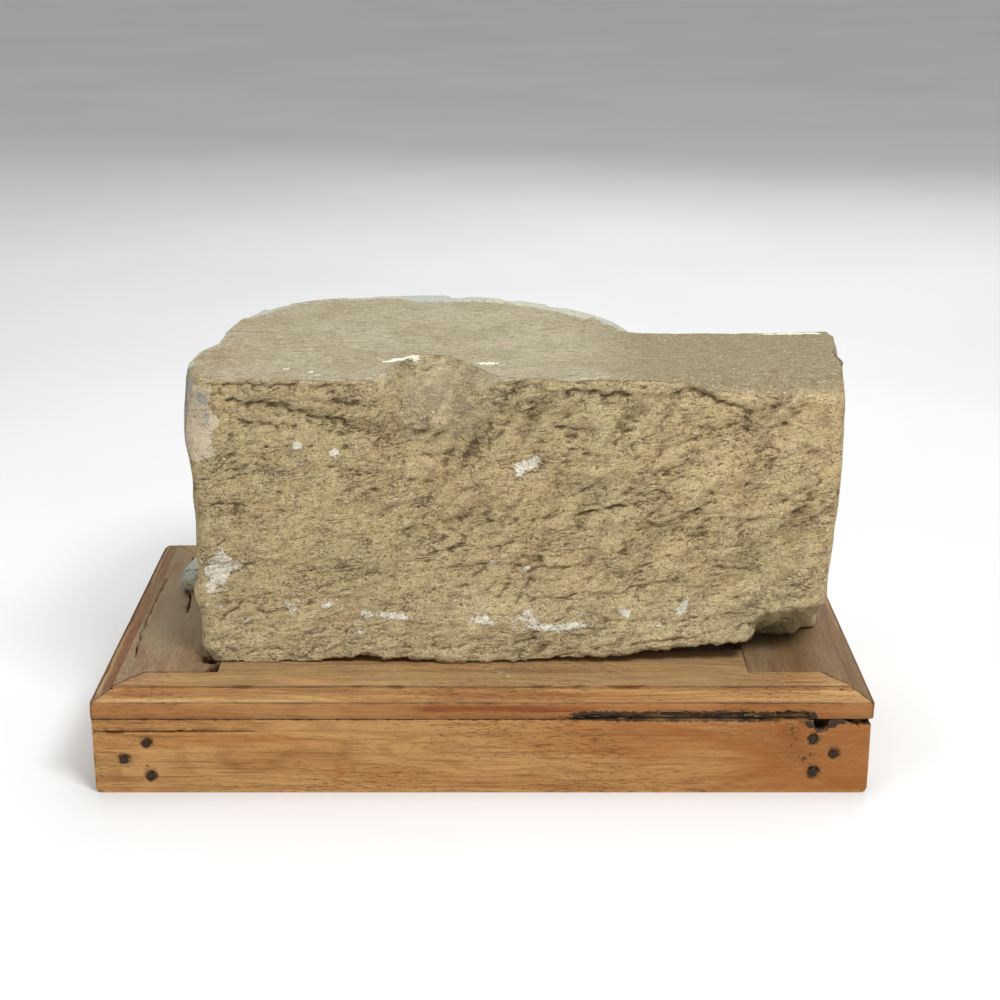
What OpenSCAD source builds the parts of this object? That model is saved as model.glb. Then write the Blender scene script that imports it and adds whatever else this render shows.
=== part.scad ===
// Stone corbel on its moulded wooden stand.
//
// The corbel is one block. Its rough tail was built into a wall; its half-round
// front is moulded. It rests by its own weight on a low stand: four boards,
// nailed at the corners, under a four-rail frame with a mitred, bevelled edge.
//
// Millimetres. The origin is the middle of the stand's underside, +Z is up,
// -Y is the side of the rough tail and +Y the side of the moulded front.

/* [Corbel block] */
// Height of the corbel above the stand
corbel_h = 198; // [190:1:206]
// Left face, from the middle of the stand
tail_left = 190.5; // [184:0.5:194]
// Right face, from the middle of the stand
tail_right = 236; // [226:1:240]
// Rough rear face, from the middle of the stand
tail_rear = 98; // [94:1:102]
// Front of the plain part at the right of the bow
tail_front = 31; // [28:1:36]
// How much further right the right face is at its front
right_skew = 12; // [0:1:14]
// How much further in the right face is at its foot
right_batter = 5.5; // [0:0.5:8]

/* [Moulded bow] */
// Middle of the bow, left to right
bow_x = -38; // [-42:1:-34]
// Line that the bow springs from, front to back
bow_y = 14; // [12:1:16]
// Half-width of the bow at its top band
band_a = 145; // [140:1:148]
// Depth of the bow at its top band
band_b = 137.4; // [130:0.1:137.4]
// Half-width of the bow at its neck
neck_a = 124; // [118:1:130]
// Depth of the bow at its neck
neck_b = 106; // [100:1:112]
// Half-width of the bow at its lowest roll
roll_a = 186; // [180:1:188]
// Height of the lowest roll
roll_h = 17; // [14:1:20]
// Where the mouldings stop at the left, front to back
stop_y = 35; // [33:1:38]
// Squareness of the bow's left shoulder, 2 being an ellipse
shoulder_left = 2.7; // [2:0.1:2.8]
// Squareness of the bow's right shoulder, 2 being an ellipse
shoulder_right = 1.85; // [1.7:0.05:2]

/* [Rough dressing] */
// Depth of the hewn hollows on the tail
hewn_depth = 5; // [0:0.5:7]
// How far the worn rear arris is set back
arris_setback = 5; // [3:1:8]
// How far the break at the lower right corner runs in under the block
break_in = 48; // [25:1:55]
// How high that break runs up the rear face
break_up = 32; // [25:1:38]

/* [Stand] */
// Width over the top frame
stand_w = 510; // [500:2:520]
// Depth over the top frame
stand_d = 303; // [303:1:312]
// Height of the side boards
board_h = 53; // [40:1:60]
// Thickness of the front and back boards
board_t = 22; // [18:1:26]
// Thickness of the boards at the left and right ends
end_board_t = 50; // [42:1:56]
// Thickness of the top frame
rail_t = 17; // [15:1:22]
// Width of the frame's left and right rails
side_rail_w = 78; // [70:1:90]
// Depth of the frame's front and back rails
cross_rail_w = 78; // [70:1:84]
// Height of the frame's upright edge
rail_edge_h = 11; // [9:1:12]
// Width of the frame's bevel
bevel_w = 14; // [10:1:18]

/* [Nails] */
// Diameter of a nail head
nail_head_d = 8; // [6:0.5:10]
// Diameter of a nail shank
nail_shank_d = 3; // [2:0.5:4]
// Length of a nail under its head
nail_length = 48; // [40:1:55]

/* [Hidden] */
NAIL_NAMES = [for (side = ["front", "back"], end = ["left", "right"], i = [1:3])
    str("nail_", side, "_", end, "_", i)];

stand_h = board_h + rail_t;
wood = [0.62, 0.46, 0.29];
worn_wood = [0.50, 0.41, 0.31];
iron = [0.20, 0.18, 0.17];
stone = [0.66, 0.59, 0.45];

// ---- corbel -----------------------------------------------------------------

function lerp(a, b, t) = a + (b - a) * t;
function clamp01(t) = min(1, max(0, t));
function ease(t) = let (c = clamp01(t)) c * c * (3 - 2 * c);
function bump(d, r) = exp(-(d * d) / (r * r));
function power(v, p) = sign(v) * pow(abs(v), p);

// Profile of the bow, from the foot up: [height, half-width, depth].
foot_h = roll_h + 4;           // top of the fillet over the roll
scotia_h = 60;                 // top of the hollow over the foot
cushion_low = 64;              // the swelling between the neck's two fillets
cushion_high = 116;
cushion_out = 9;
bead_r = 5;                    // round bead over the swelling
cavetto_low = cushion_high + 2 * bead_r;
cavetto_high = corbel_h - 40;  // hollow that carries the top band
fillet_in = 3;
fillet_h = 3;
arris_wear = 3;                // worn top edge of the band

roll_r = roll_h / 2;
roll_in_a = roll_a - roll_r;
roll_in_b = band_b - roll_r;
foot_a = roll_in_a - 9;
foot_b = roll_in_b - 7;

ledge = 0.8;                    // slope of the small ledges between mouldings
bow_profile = concat(
    [for (t = [-90:30:90]) let (up = roll_r * power(sin(t), 0.7), out = roll_r * power(cos(t), 0.5))
        [roll_r + up, roll_in_a + out, roll_in_b + out]],
    [[roll_h + ledge, foot_a, foot_b]],
    [for (t = [0:18:90]) [lerp(foot_h, scotia_h, 1 - cos(t)),
                          lerp(foot_a, neck_a, sin(t)), lerp(foot_b, neck_b, sin(t))]],
    [[scotia_h + ledge, neck_a + 4, neck_b + 4], [cushion_low - ledge, neck_a + 4, neck_b + 4]],
    [for (t = [0:30:180]) [lerp(cushion_low, cushion_high, t / 180),
                           neck_a + cushion_out * sin(t), neck_b + cushion_out * sin(t)]],
    [for (t = [-60:40:60]) [cushion_high + bead_r + bead_r * sin(t),
                            neck_a + 2 + bead_r * cos(t), neck_b + 2 + bead_r * cos(t)]],
    [for (t = [0:18:90]) [lerp(cavetto_low, cavetto_high, sin(t)),
                          lerp(neck_a, band_a - fillet_in, 1 - cos(t)),
                          lerp(neck_b, band_b - fillet_in, 1 - cos(t))]],
    [[cavetto_high + fillet_h, band_a - fillet_in, band_b - fillet_in],
     [cavetto_high + fillet_h + ledge, band_a, band_b],
     [corbel_h - 20, band_a, band_b],
     [corbel_h - arris_wear, band_a, band_b],
     [corbel_h, band_a - arris_wear, band_b - arris_wear]]);
levels = len(bow_profile);

// Height of the worn underside above the stand: hollow in the middle and at the right.
function underside(x) = (1 - ease((x - 181) / 24))
    * (4.8 * ease((x + 130) / 40) - 2.9 * ease((x + 60) / 70) + 17 * pow(clamp01((x - 25) / 165), 1.5));

// The break at the lower right corner: its upper edge, and how far it runs in at a height.
function break_edge(x) = break_up + 10.5 * (1 - pow(1 - clamp01((x - 181) / 44), 2));
function break_back(x, h) = let (edge = break_edge(x)) ease((x - 174) / 14)
    * (3.5 * (1 - ease((h - edge + 3) / 3)) + (break_in - 3.5) * clamp01((edge - h) / edge));

// Hollows left by the mason's point on the rough rear face:
// [middle across, middle up, half-width, half-height, depth]
scoops = [
    [-135, 172, 34, 13, 7], [-92, 158, 26, 10, 5], [-30, 176, 26, 26, 9], [38, 168, 20, 12, 5],
    [92, 178, 30, 14, 6], [176, 160, 40, 14, 6], [64, 120, 20, 12, 5], [-20, 95, 34, 16, 4],
    [130, 84, 36, 18, 4], [-160, 30, 18, 14, 5], [20, 52, 30, 12, 3], [210, 100, 16, 30, 3]];

// Waves of the dressing: slanting ridges that rise to the right, over slow swells.
function ridges(x, h) =
    0.5 + 0.22 * sin(x * 6.1 - h * 4.2 + 40 * sin(h * 2.3))
        + 0.16 * sin(x * 2.7 + h * 3.9 + 60) + 0.12 * sin(h * 11 + 50 * sin(x * 3.3));
function sum(v, i = 0) = i >= len(v) ? 0 : v[i] + sum(v, i + 1);
function rear_hollow(x, h) =
    hewn_depth * ridges(x, h)
    + sum([for (s = scoops) s[4] * bump(x - s[0], s[2]) * bump(h - s[1], s[3])]);

// The rear top arris: broken back in one scoop, and worn down at the right.
function scoop(x) = ease((x + 86) / 42) * (1 - ease((x + 14) / 36));
function setback(x) = arris_setback + 45 * scoop(x) + 24 * ease((x - 100) / 60);
function wear_down(x) = 3 + 26 * scoop(x) + 12 * ease((x - 120) / 60) + 4 * ease((x - 180) / 60);

// Rounding of an upright corner: how far the face stands back at distance d from it.
function corner_back(d, r) = d >= r ? 0 : r - sqrt(r * r - pow(r - max(0, d), 2));
corner_r = 12;
far_wear = 3;                  // wear of the top edges away from the rear arris

// Left face: leans in towards the front, and swells near the rear at two heights.
function left_x(y, h) = -tail_left + 8 * ease((y + 25) / 30) - 4 * bump(h - 155, 26) * bump(y + 75, 60)
    - 4.5 * bump(y + 48, 30) * ease((h - 100) / 60) - 4 * bump(h - 46, 9) * bump(y + 80, 40)
    + 6 * (1 - ease(h / 12)) + 1.5 * ridges(y, h);
function right_x(y, h) = tail_right + right_skew * (y + tail_rear) / (tail_rear + tail_front)
    - right_batter * (1 - ease((h - 40) / 90)) - 3 * ease((y - tail_front + 9) / 9) - 2.5 * ridges(y + 90, h)
    - 10 * (1 - ease(h / 34)) * (1 - ease((y + 70) / 50));
function right_wear(y) = lerp(wear_down(tail_right), far_wear, ease((y + tail_rear) / 60));

// Angle at which the bow of depth b meets a line across at distance y.
function bow_angle(b, y, squareness) = asin(pow((y - bow_y) / b, squareness / 2));
function bow_point(a, b, angle) =
    let (p = 2 / (cos(angle) < 0 ? shoulder_left : shoulder_right))
    [bow_x + a * power(cos(angle), p), bow_y + b * power(sin(angle), p)];

// Columns round the block: [face, place along it from 0 to 1].
REAR = 0; RIGHT = 1; SHOULDER = 2; BOW = 3; LEFT = 4;
function columns_on(face, count) = [for (i = [0:count - 1]) [face, i / count]];
columns = concat(columns_on(REAR, 34), columns_on(RIGHT, 9), columns_on(SHOULDER, 7),
    [for (i = [0:34]) [BOW, i / 34]], columns_on(LEFT, 9));
count = len(columns);

// Places along the rear face are closer together at its two corners.
function crowd(t) = 0.5 * t + 0.25 * (1 - cos(180 * t));

// Height of the rough faces at level j, between their foot and their worn top edge.
arris_level = levels - 3;
function rough_height(j, foot, wear) =
    j <= arris_level ? lerp(foot, corbel_h - wear, bow_profile[j][0] / bow_profile[arris_level][0])
    : j < levels - 1 ? corbel_h - wear * 0.35 : corbel_h;
// Share of the top edge's setback at level j.
function rounding_at(j) = j <= arris_level ? 0 : j < levels - 1 ? 0.3 : 1;

function rear_point(t, j) =
    let (h = bow_profile[j][0],
         left = left_x(-tail_rear, h), right = right_x(-tail_rear, h), x = lerp(left, right, crowd(t)),
         z = rough_height(j, underside(x), wear_down(x)))
    [x, -tail_rear + corner_back(min(x - left, right - x), corner_r) + setback(x) * rounding_at(j)
        + break_back(x, z) + rear_hollow(x, z) * (1 - 0.7 * rounding_at(j)), z];
function right_point(t, j) =
    let (y = lerp(rear_point(1, j)[1], tail_front, t), x = right_x(y, bow_profile[j][0]))
    [x - far_wear * rounding_at(j), y, rough_height(j, underside(x), right_wear(y))];
function shoulder_point(t, j) =
    let (b = bow_profile[j][2], join = bow_point(bow_profile[j][1], b, bow_angle(b, tail_front, shoulder_right)),
         x = lerp(right_x(tail_front, bow_profile[j][0]), join[0], t))
    [x - (1 - t) * far_wear * rounding_at(j), tail_front - (t > 0 ? far_wear * rounding_at(j) : 0),
     rough_height(j, underside(x), far_wear)];
function bow_column_point(t, j) =
    let (a = bow_profile[j][1], b = bow_profile[j][2],
         p = bow_point(a, b, lerp(bow_angle(b, tail_front, shoulder_right),
                                  180 - bow_angle(b, stop_y, shoulder_left), t)))
    [p[0], p[1], bow_profile[j][0]];
function left_point(t, j) =
    let (y = lerp(stop_y, -tail_rear + corner_r, t))
    [left_x(y, bow_profile[j][0]) + far_wear * rounding_at(j), y, rough_height(j, 0, far_wear)];

function column_point(column, j) =
    column[0] == REAR ? rear_point(column[1], j)
    : column[0] == RIGHT ? (column[1] == 0 ? rear_point(1, j) : right_point(column[1], j))
    : column[0] == SHOULDER ? shoulder_point(column[1], j)
    : column[0] == BOW ? bow_column_point(column[1], j)
    : left_point(column[1], j);

// One ring of points for each level, then an inner ring under the foot and its middle.
ring_points = [for (j = [0:levels - 1], c = columns) column_point(c, j) + [0, 0, stand_h]];
foot_middle = [0, -20, stand_h + 16];
foot_margin = 0.72;
inner_ring = [for (c = [0:count - 1]) let (p = ring_points[c])
    [lerp(foot_middle[0], p[0], foot_margin), lerp(foot_middle[1], p[1], foot_margin), p[2]]];
inner_first = levels * count;
middle_index = inner_first + count;

function quads(lower, upper) = [for (c = [0:count - 1]) let (d = (c + 1) % count)
    each [[lower + c, upper + c, upper + d], [lower + c, upper + d, lower + d]]];
corbel_faces = concat(
    [for (j = [0:levels - 2]) each quads(j * count, (j + 1) * count)],
    quads(inner_first, 0),
    [for (c = [0:count - 1]) [middle_index, inner_first + c, inner_first + (c + 1) % count]],
    [[for (c = [count - 1:-1:0]) (levels - 1) * count + c]]);

module corbel() {
    color(stone) polyhedron(concat(ring_points, inner_ring, [foot_middle]), corbel_faces);
}

// ---- stand ------------------------------------------------------------------

rail_top = stand_h;
margin_y = 38.5;               // depth of the mitred margin at front and back
margin_x = 30;                 // width of the mitred margin at left and right
fillet_w = 2;                  // small step inside the bevel
fillet_z = 2;
broken_x = 9;                  // corner broken off the left rail
broken_y = 17;
board_in = 0.5;                // boards stand in from the frame at left, front and back
board_in_right = 2;
board_corner_r = 3;
half_w = stand_w / 2;
half_d = stand_d / 2;
opening_x = half_w - side_rail_w;
opening_y = half_d - cross_rail_w;
butt_y = half_d - margin_y;
butt_x = half_w - margin_x;

// Section of a rail: inset is counted from its moulded edge, squeezed where the margin is narrower.
function rail_section(edge, width, squeeze) = [
    [edge, board_h], [edge, board_h + rail_edge_h],
    [edge - bevel_w * squeeze, rail_top - fillet_z],
    [edge - (bevel_w + fillet_w) * squeeze, rail_top - fillet_z],
    [edge - (bevel_w + fillet_w) * squeeze, rail_top],
    [edge - width, rail_top], [edge - width, board_h]];

// A rail that lies across, at the back; its ends are mitred, then butted.
module cross_rail() {
    intersection() {
        rotate([90, 0, 90]) linear_extrude(stand_w, center = true)
            polygon(rail_section(half_d, cross_rail_w, 1));
        linear_extrude(2 * stand_h) polygon([
            [-half_w, half_d], [-butt_x, butt_y], [-opening_x, butt_y], [-opening_x, opening_y],
            [opening_x, opening_y], [opening_x, butt_y], [butt_x, butt_y], [half_w, half_d]]);
    }
}

// A rail that runs front to back, at the right.
module end_rail() {
    intersection() {
        rotate([90, 0, 0]) linear_extrude(stand_d, center = true)
            polygon(rail_section(half_w, side_rail_w, margin_x / margin_y));
        linear_extrude(2 * stand_h) polygon([
            [half_w, -half_d], [half_w, half_d], [butt_x, butt_y],
            [opening_x, butt_y], [opening_x, -butt_y], [butt_x, -butt_y]]);
    }
}

module top_rail_back() { color(worn_wood) cross_rail(); }
module top_rail_front() { color(worn_wood) mirror([0, 1, 0]) cross_rail(); }
module top_rail_right() { color(worn_wood) end_rail(); }
module top_rail_left() {
    color(worn_wood) difference() {
        mirror([1, 0, 0]) end_rail();
        // The inner front corner is broken off.
        translate([0, 0, -1]) linear_extrude(2 * stand_h) polygon([
            [-opening_x - broken_x, -butt_y - 1], [-opening_x + 1, -butt_y - 1],
            [-opening_x + 1, -butt_y + broken_y], [-opening_x - 0.01, -butt_y + broken_y],
            [-opening_x - broken_x, -butt_y]]);
    }
}

board_x0 = -half_w + board_in;
board_x1 = half_w - board_in_right;
board_y = half_d - board_in;
board_inner_y = board_y - board_t;

// Nail places on a board: [distance from its end, height].
left_nails = [[35, 36], [20, 24], [37, 12]];
right_nails = [[37, 38], [23, 28], [36, 15]];
head_t = 1.4;
head_proud = 0.6;
head_fit = 0.1;
nail_places = [for (side = [-1, 1], end = [-1, 1], i = [0:2])
    let (n = end < 0 ? left_nails[i] : right_nails[i])
    [end < 0 ? board_x0 + n[0] : board_x1 - n[0], side * board_y, n[1]]];

// Puts what is drawn along +Z at a nail's place, pointing into its board.
module at_nail(i) {
    p = nail_places[i];
    translate(p) rotate([p[1] < 0 ? -90 : 90, 0, 0]) children();
}

module nail_seats() {
    for (i = [0:len(nail_places) - 1]) at_nail(i) {
        translate([0, 0, -1]) cylinder(h = 1 + head_t - head_proud, d = nail_head_d + 2 * head_fit, $fn = 32);
        cylinder(h = nail_length + 1, d = nail_shank_d, $fn = 24);
    }
}

// Front outline of a board that lies across, its two lower corners worn round.
function lower_corner(x, turn, a) =
    [x + turn * board_corner_r * (1 - sin(a)), board_corner_r * (1 - cos(a))];
module cross_board() {
    rotate([90, 0, 0]) linear_extrude(board_t) polygon(concat(
        [[board_x0, board_h]], [for (a = [90:-22.5:0]) lower_corner(board_x0, 1, a)],
        [for (a = [0:22.5:90]) lower_corner(board_x1, -1, a)], [[board_x1, board_h]]));
}

module side_board_front() {
    color(wood) difference() { translate([0, -board_inner_y, 0]) cross_board(); nail_seats(); }
}
module side_board_back() {
    color(wood) difference() { translate([0, board_y, 0]) cross_board(); nail_seats(); }
}
module end_board(x) {
    color(wood) difference() {
        translate([x, -board_inner_y, 0]) cube([end_board_t, 2 * board_inner_y, board_h]);
        nail_seats();
    }
}
module side_board_left() { end_board(board_x0); }
module side_board_right() { end_board(board_x1 - end_board_t); }

// A hand-made nail: low domed head and a round shank.
module nail(i) {
    r = nail_head_d / 2;
    color(iron) at_nail(i) union() {
        translate([0, 0, -head_proud]) rotate_extrude($fn = 32) polygon([
            [0, 0], [r * 0.6, 0], [r, head_t * 0.45], [r, head_t], [0, head_t]]);
        cylinder(h = nail_length, d = nail_shank_d, $fn = 24);
    }
}

corbel();
top_rail_front();
top_rail_back();
top_rail_left();
top_rail_right();
side_board_front();
side_board_back();
side_board_left();
side_board_right();
for (i = [0:len(NAIL_NAMES) - 1]) nail(i);
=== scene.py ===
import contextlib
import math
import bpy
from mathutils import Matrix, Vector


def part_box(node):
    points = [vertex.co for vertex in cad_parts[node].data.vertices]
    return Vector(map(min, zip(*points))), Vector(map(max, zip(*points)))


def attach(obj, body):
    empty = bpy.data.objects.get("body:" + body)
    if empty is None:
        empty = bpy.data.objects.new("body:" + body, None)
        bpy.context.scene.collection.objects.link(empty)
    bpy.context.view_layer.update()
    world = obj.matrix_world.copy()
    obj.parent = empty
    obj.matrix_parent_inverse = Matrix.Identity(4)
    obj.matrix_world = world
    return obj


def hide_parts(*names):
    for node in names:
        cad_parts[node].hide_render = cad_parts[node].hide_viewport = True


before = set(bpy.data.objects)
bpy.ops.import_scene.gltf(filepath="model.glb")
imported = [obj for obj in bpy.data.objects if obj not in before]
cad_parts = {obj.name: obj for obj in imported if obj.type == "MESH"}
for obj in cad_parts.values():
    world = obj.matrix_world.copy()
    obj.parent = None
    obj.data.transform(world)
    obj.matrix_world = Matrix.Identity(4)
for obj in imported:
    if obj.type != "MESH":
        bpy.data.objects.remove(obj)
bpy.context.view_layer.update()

# Looks of a stone corbel on its moulded wooden stand.
#
# The corbel is one displaced mesh: a grid of columns round the block and rows up
# it, closed by rings on the top bed and the underside. The stand's rails and
# boards are the CAD solids again, with worn edges, cracks and broken places.
# Lengths are in millimetres until a mesh or a node takes them.

import types

import bmesh
import bpy
import numpy as np
from mathutils import Vector

MM = 0.001
STAND_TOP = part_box("top_rail_front")[1][2] / MM
CORBEL_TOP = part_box("corbel")[1][2] / MM
CORBEL_H = CORBEL_TOP - STAND_TOP
BEVEL_LOW = STAND_TOP - 6        # where the frame's bevel meets its upright edge
BOARD_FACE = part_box("side_board_front")[0][1] / MM
BOARD_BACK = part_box("side_board_front")[1][1] / MM
BOARD_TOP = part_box("side_board_front")[1][2] / MM


# ---- numbers ----

def ease(t):
    """Smooth step from 0 to 1."""
    t = np.clip(t, 0.0, 1.0)
    return t * t * (3 - 2 * t)


def ramp(value, start, over):
    """Smooth step that begins at start and is done after some more."""
    return ease((value - start) / over)


def bump(d, r):
    """1 at d = 0, falling to nearly 0 at twice r."""
    return np.exp(-(d * d) / (r * r))


def power(v, p):
    return np.sign(v) * np.abs(v) ** p


def lerp(a, b, t):
    return a + (b - a) * t


def axes(points):
    """The coordinates of points, as three arrays."""
    return points[..., 0], points[..., 1], points[..., 2]


def above_stand(points):
    """The coordinates of points, with the height counted from the stand."""
    x, y, z = axes(points)
    return x, y, z - STAND_TOP


def noise(x, y, z, seed):
    """Smooth noise between about -1 and 1, on arrays of any one shape."""
    rng = np.random.RandomState(seed)
    table = np.tile(rng.permutation(256), 3)
    slopes = rng.normal(size=(256, 3))
    slopes /= np.linalg.norm(slopes, axis=1)[:, None]
    x, y, z = np.broadcast_arrays(x, y, z)
    cell = [np.floor(v).astype(int) for v in (x, y, z)]
    part = [v - c for v, c in zip((x, y, z), cell)]
    fade = [f * f * f * (f * (f * 6 - 15) + 10) for f in part]
    total = np.zeros(x.shape)
    for corner in range(8):
        step = (corner & 1, corner >> 1 & 1, corner >> 2 & 1)
        i, j, k = ((c + s) & 255 for c, s in zip(cell, step))
        slope = slopes[table[table[table[i] + j] + k]]
        weight = 1.0
        dot = 0.0
        for axis in range(3):
            weight = weight * (fade[axis] if step[axis] else 1 - fade[axis])
            dot = dot + slope[..., axis] * (part[axis] - step[axis])
        total += weight * dot
    return total * 1.6


def fractal(x, y, z, seed, octaves):
    """Layers of noise, each about twice as fine and half as high as the one before."""
    total, size = 0.0, 1.0
    for octave in range(octaves):
        f = 2.03 ** octave
        total = total + size * noise(x * f, y * f, z * f, seed + octave)
        size *= 0.5
    return total


def facets(u, v, size_u, size_v, seed):
    """Flat facets in jittered cells, each with a height and tilt of its own."""
    rng = np.random.RandomState(seed)
    count = 48
    jitter = rng.rand(2, count, count)
    tilt = rng.normal(size=(2, count, count)) * 0.7
    level = rng.uniform(-1, 1, (count, count))
    u, v = u / size_u, v / size_v
    nearest, out = np.full(u.shape, np.inf), np.zeros(u.shape)
    for du in (-1, 0, 1):
        for dv in (-1, 0, 1):
            i, j = np.floor(u) + du, np.floor(v) + dv
            a, b = i.astype(int) % count, j.astype(int) % count
            off_u, off_v = u - i - jitter[0, a, b], v - j - jitter[1, a, b]
            distance = off_u ** 2 + off_v ** 2
            value = level[a, b] + tilt[0, a, b] * off_u + tilt[1, a, b] * off_v
            out = np.where(distance < nearest, value, out)
            nearest = np.minimum(distance, nearest)
    return out


# ---- shader graphs ----

class Graph:
    """A material's node graph, built one node at a time."""

    def __init__(self, name):
        self.material = bpy.data.materials.new(name)
        self.material.use_nodes = True
        self.tree = self.material.node_tree
        self.tree.nodes.clear()
        self.coords = self.add("TexCoord").outputs["Object"]

    def add(self, kind, inputs=(), **settings):
        """A shader node of a kind, with its inputs linked or set, and its settings."""
        node = self.tree.nodes.new("ShaderNode" + kind)
        for key, value in settings.items():
            setattr(node, key, value)
        for key, value in dict(inputs).items():
            self.put(node.inputs[key], value)
        return node

    def put(self, socket, value):
        if isinstance(value, bpy.types.NodeSocket):
            self.tree.links.new(value, socket)
        elif hasattr(socket.default_value, "__len__") and len(socket.default_value) == 4:
            socket.default_value = (*value[:3], 1.0)
        else:
            socket.default_value = value

    def math(self, operation, a, b=0.0):
        return self.add("Math", {0: a, 1: b}, operation=operation).outputs[0]

    def plus(self, a, b):
        return self.math("ADD", a, b)

    def times(self, a, b):
        return self.math("MULTIPLY", a, b)

    def step(self, value, low, high, to_low=0.0, to_high=1.0):
        """Smooth step of value from low to high."""
        limits = {"Value": value, "From Min": low, "From Max": high, "To Min": to_low, "To Max": to_high}
        return self.add("MapRange", limits, interpolation_type="SMOOTHSTEP").outputs["Result"]

    def line(self, value, middle, outer, inner, to_outer=0.0, to_inner=1.0):
        """A thin line where value is close to the middle one."""
        away = self.math("ABSOLUTE", self.plus(value, -middle))
        return self.step(away, outer, inner, to_outer, to_inner)

    def ragged(self, value, noise, amount):
        """The value with its outlines roughened by a noise."""
        return self.plus(value, self.times(self.plus(noise, -0.5), amount))

    def field(self, name):
        return self.add("Attribute", attribute_name=name).outputs["Fac"]

    def axis(self, number):
        return self.add("SeparateXYZ", {0: self.coords}).outputs[number]

    def place(self, scale, turn=0.0, shift=(0.0, 0.0, 0.0)):
        """Object coordinates, turned about Y, then scaled and shifted."""
        vector = self.coords
        if turn:
            turned = {"Vector": vector, "Rotation": (0.0, turn, 0.0)}
            vector = self.add("Mapping", turned).outputs[0]
        return self.add("Mapping", {"Vector": vector, "Scale": scale, "Location": shift}).outputs[0]

    def noise(self, scale, detail=4.0, roughness=0.55, distortion=0.0, turn=0.0, shift=(0.0, 0.0, 0.0)):
        """Noise with a scale of its own along each axis."""
        inputs = {"Vector": self.place(scale, turn, shift), "Scale": 1.0, "Detail": detail,
                  "Roughness": roughness, "Distortion": distortion}
        return self.add("TexNoise", inputs).outputs["Fac"]

    def mix(self, amount, a, b):
        node = self.add("Mix", data_type="RGBA", blend_type="MIX")
        node.clamp_factor = True
        self.put(node.inputs["Factor"], amount)
        self.put(node.inputs[6], a)
        self.put(node.inputs[7], b)
        return node.outputs[2]

    def layers(self, colour, *coats):
        """Coats laid over a colour in turn, each an amount and a colour."""
        for amount, coat in coats:
            colour = self.mix(amount, colour, coat)
        return colour

    def bump(self, height, distance, strength):
        inputs = {"Height": height, "Distance": distance, "Strength": strength}
        return self.add("Bump", inputs).outputs["Normal"]

    def finish(self, colour, roughness, normal=None, specular=0.3):
        inputs = {"Base Color": colour, "Roughness": roughness, "Specular IOR Level": specular}
        shader = self.add("BsdfPrincipled", inputs)
        if normal is not None:
            self.put(shader.inputs["Normal"], normal)
        output = self.add("OutputMaterial")
        self.tree.links.new(shader.outputs[0], output.inputs["Surface"])
        return self.material


def srgb(r, g, b):
    """A colour as seen on screen, 0 to 255, in linear values."""
    return tuple((v / 255 / 12.92) if v <= 10 else ((v / 255 + 0.055) / 1.055) ** 2.4 for v in (r, g, b))


def scaled(colour, *factors):
    """A linear colour times one factor, or one factor for each channel."""
    return tuple(min(1.0, f * v) for f, v in zip(factors * 3, colour))


# ---- meshes ----

def new_object(name, data):
    piece = bpy.data.objects.new(name, data)
    bpy.context.scene.collection.objects.link(piece)
    return piece


def mesh_from(name, points, faces):
    """A mesh from points in mm."""
    mesh = bpy.data.meshes.new(name)
    mesh.from_pydata((np.asarray(points) * MM).tolist(), [], faces)
    return mesh


@contextlib.contextmanager
def editing(mesh, source=None):
    """The mesh, or a source for it, as a bmesh; what becomes of it is written to the mesh."""
    bm = bmesh.new()
    bm.from_mesh(mesh if source is None else source)
    yield bm
    bm.to_mesh(mesh)
    bm.free()


def triangulate_large(bm):
    """Triangles in place of the faces that have more than four corners."""
    bmesh.ops.triangulate(bm, faces=[f for f in bm.faces if len(f.verts) > 4])


def read_vectors(mesh, name):
    flat = np.empty(len(mesh.vertices) * 3)
    mesh.vertices.foreach_get(name, flat)
    return flat.reshape(-1, 3)


def write_points(mesh, points):
    mesh.vertices.foreach_set("co", (points * MM).ravel())
    mesh.update()


def write_field(mesh, name, values):
    layer = mesh.attributes.new(name, "FLOAT", "POINT")
    layer.data.foreach_set("value", np.asarray(values, dtype=np.float32).ravel())


# ---- corbel: the block ----
# Heights here are above the stand. -Y is the rough tail's side.

TAIL_LEFT, TAIL_RIGHT, TAIL_REAR, TAIL_FRONT = 190.5, 236.0, 98.0, 31.0
RIGHT_SKEW, RIGHT_BATTER = 12.0, 5.5
BOW_X, BOW_Y, STOP_Y = -38.0, 14.0, 35.0
BAND_A, BAND_B = 145.0, 137.4
NECK_A, NECK_B = 124.0, 106.0
ROLL_H, ROLL_A = 17.0, 186.0
ROLL_R = ROLL_H / 2
SHOULDER_LEFT, SHOULDER_RIGHT = 2.7, 1.85
CORNER_R = 12.0
BREAK_IN, BREAK_UP = 48.0, 32.0

ROWS = 184
REAR_COLUMNS, RIGHT_COLUMNS, SHOULDER_COLUMNS = 222, 34, 26
BOW_COLUMNS, STEP_COLUMNS, LEFT_COLUMNS = 108, 12, 36
TOP_RINGS, FOOT_RINGS = 24, 6


def rings(height, size):
    """Rows of height, half-width and depth."""
    return np.stack(np.broadcast_arrays(height, *size), 1)


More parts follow.
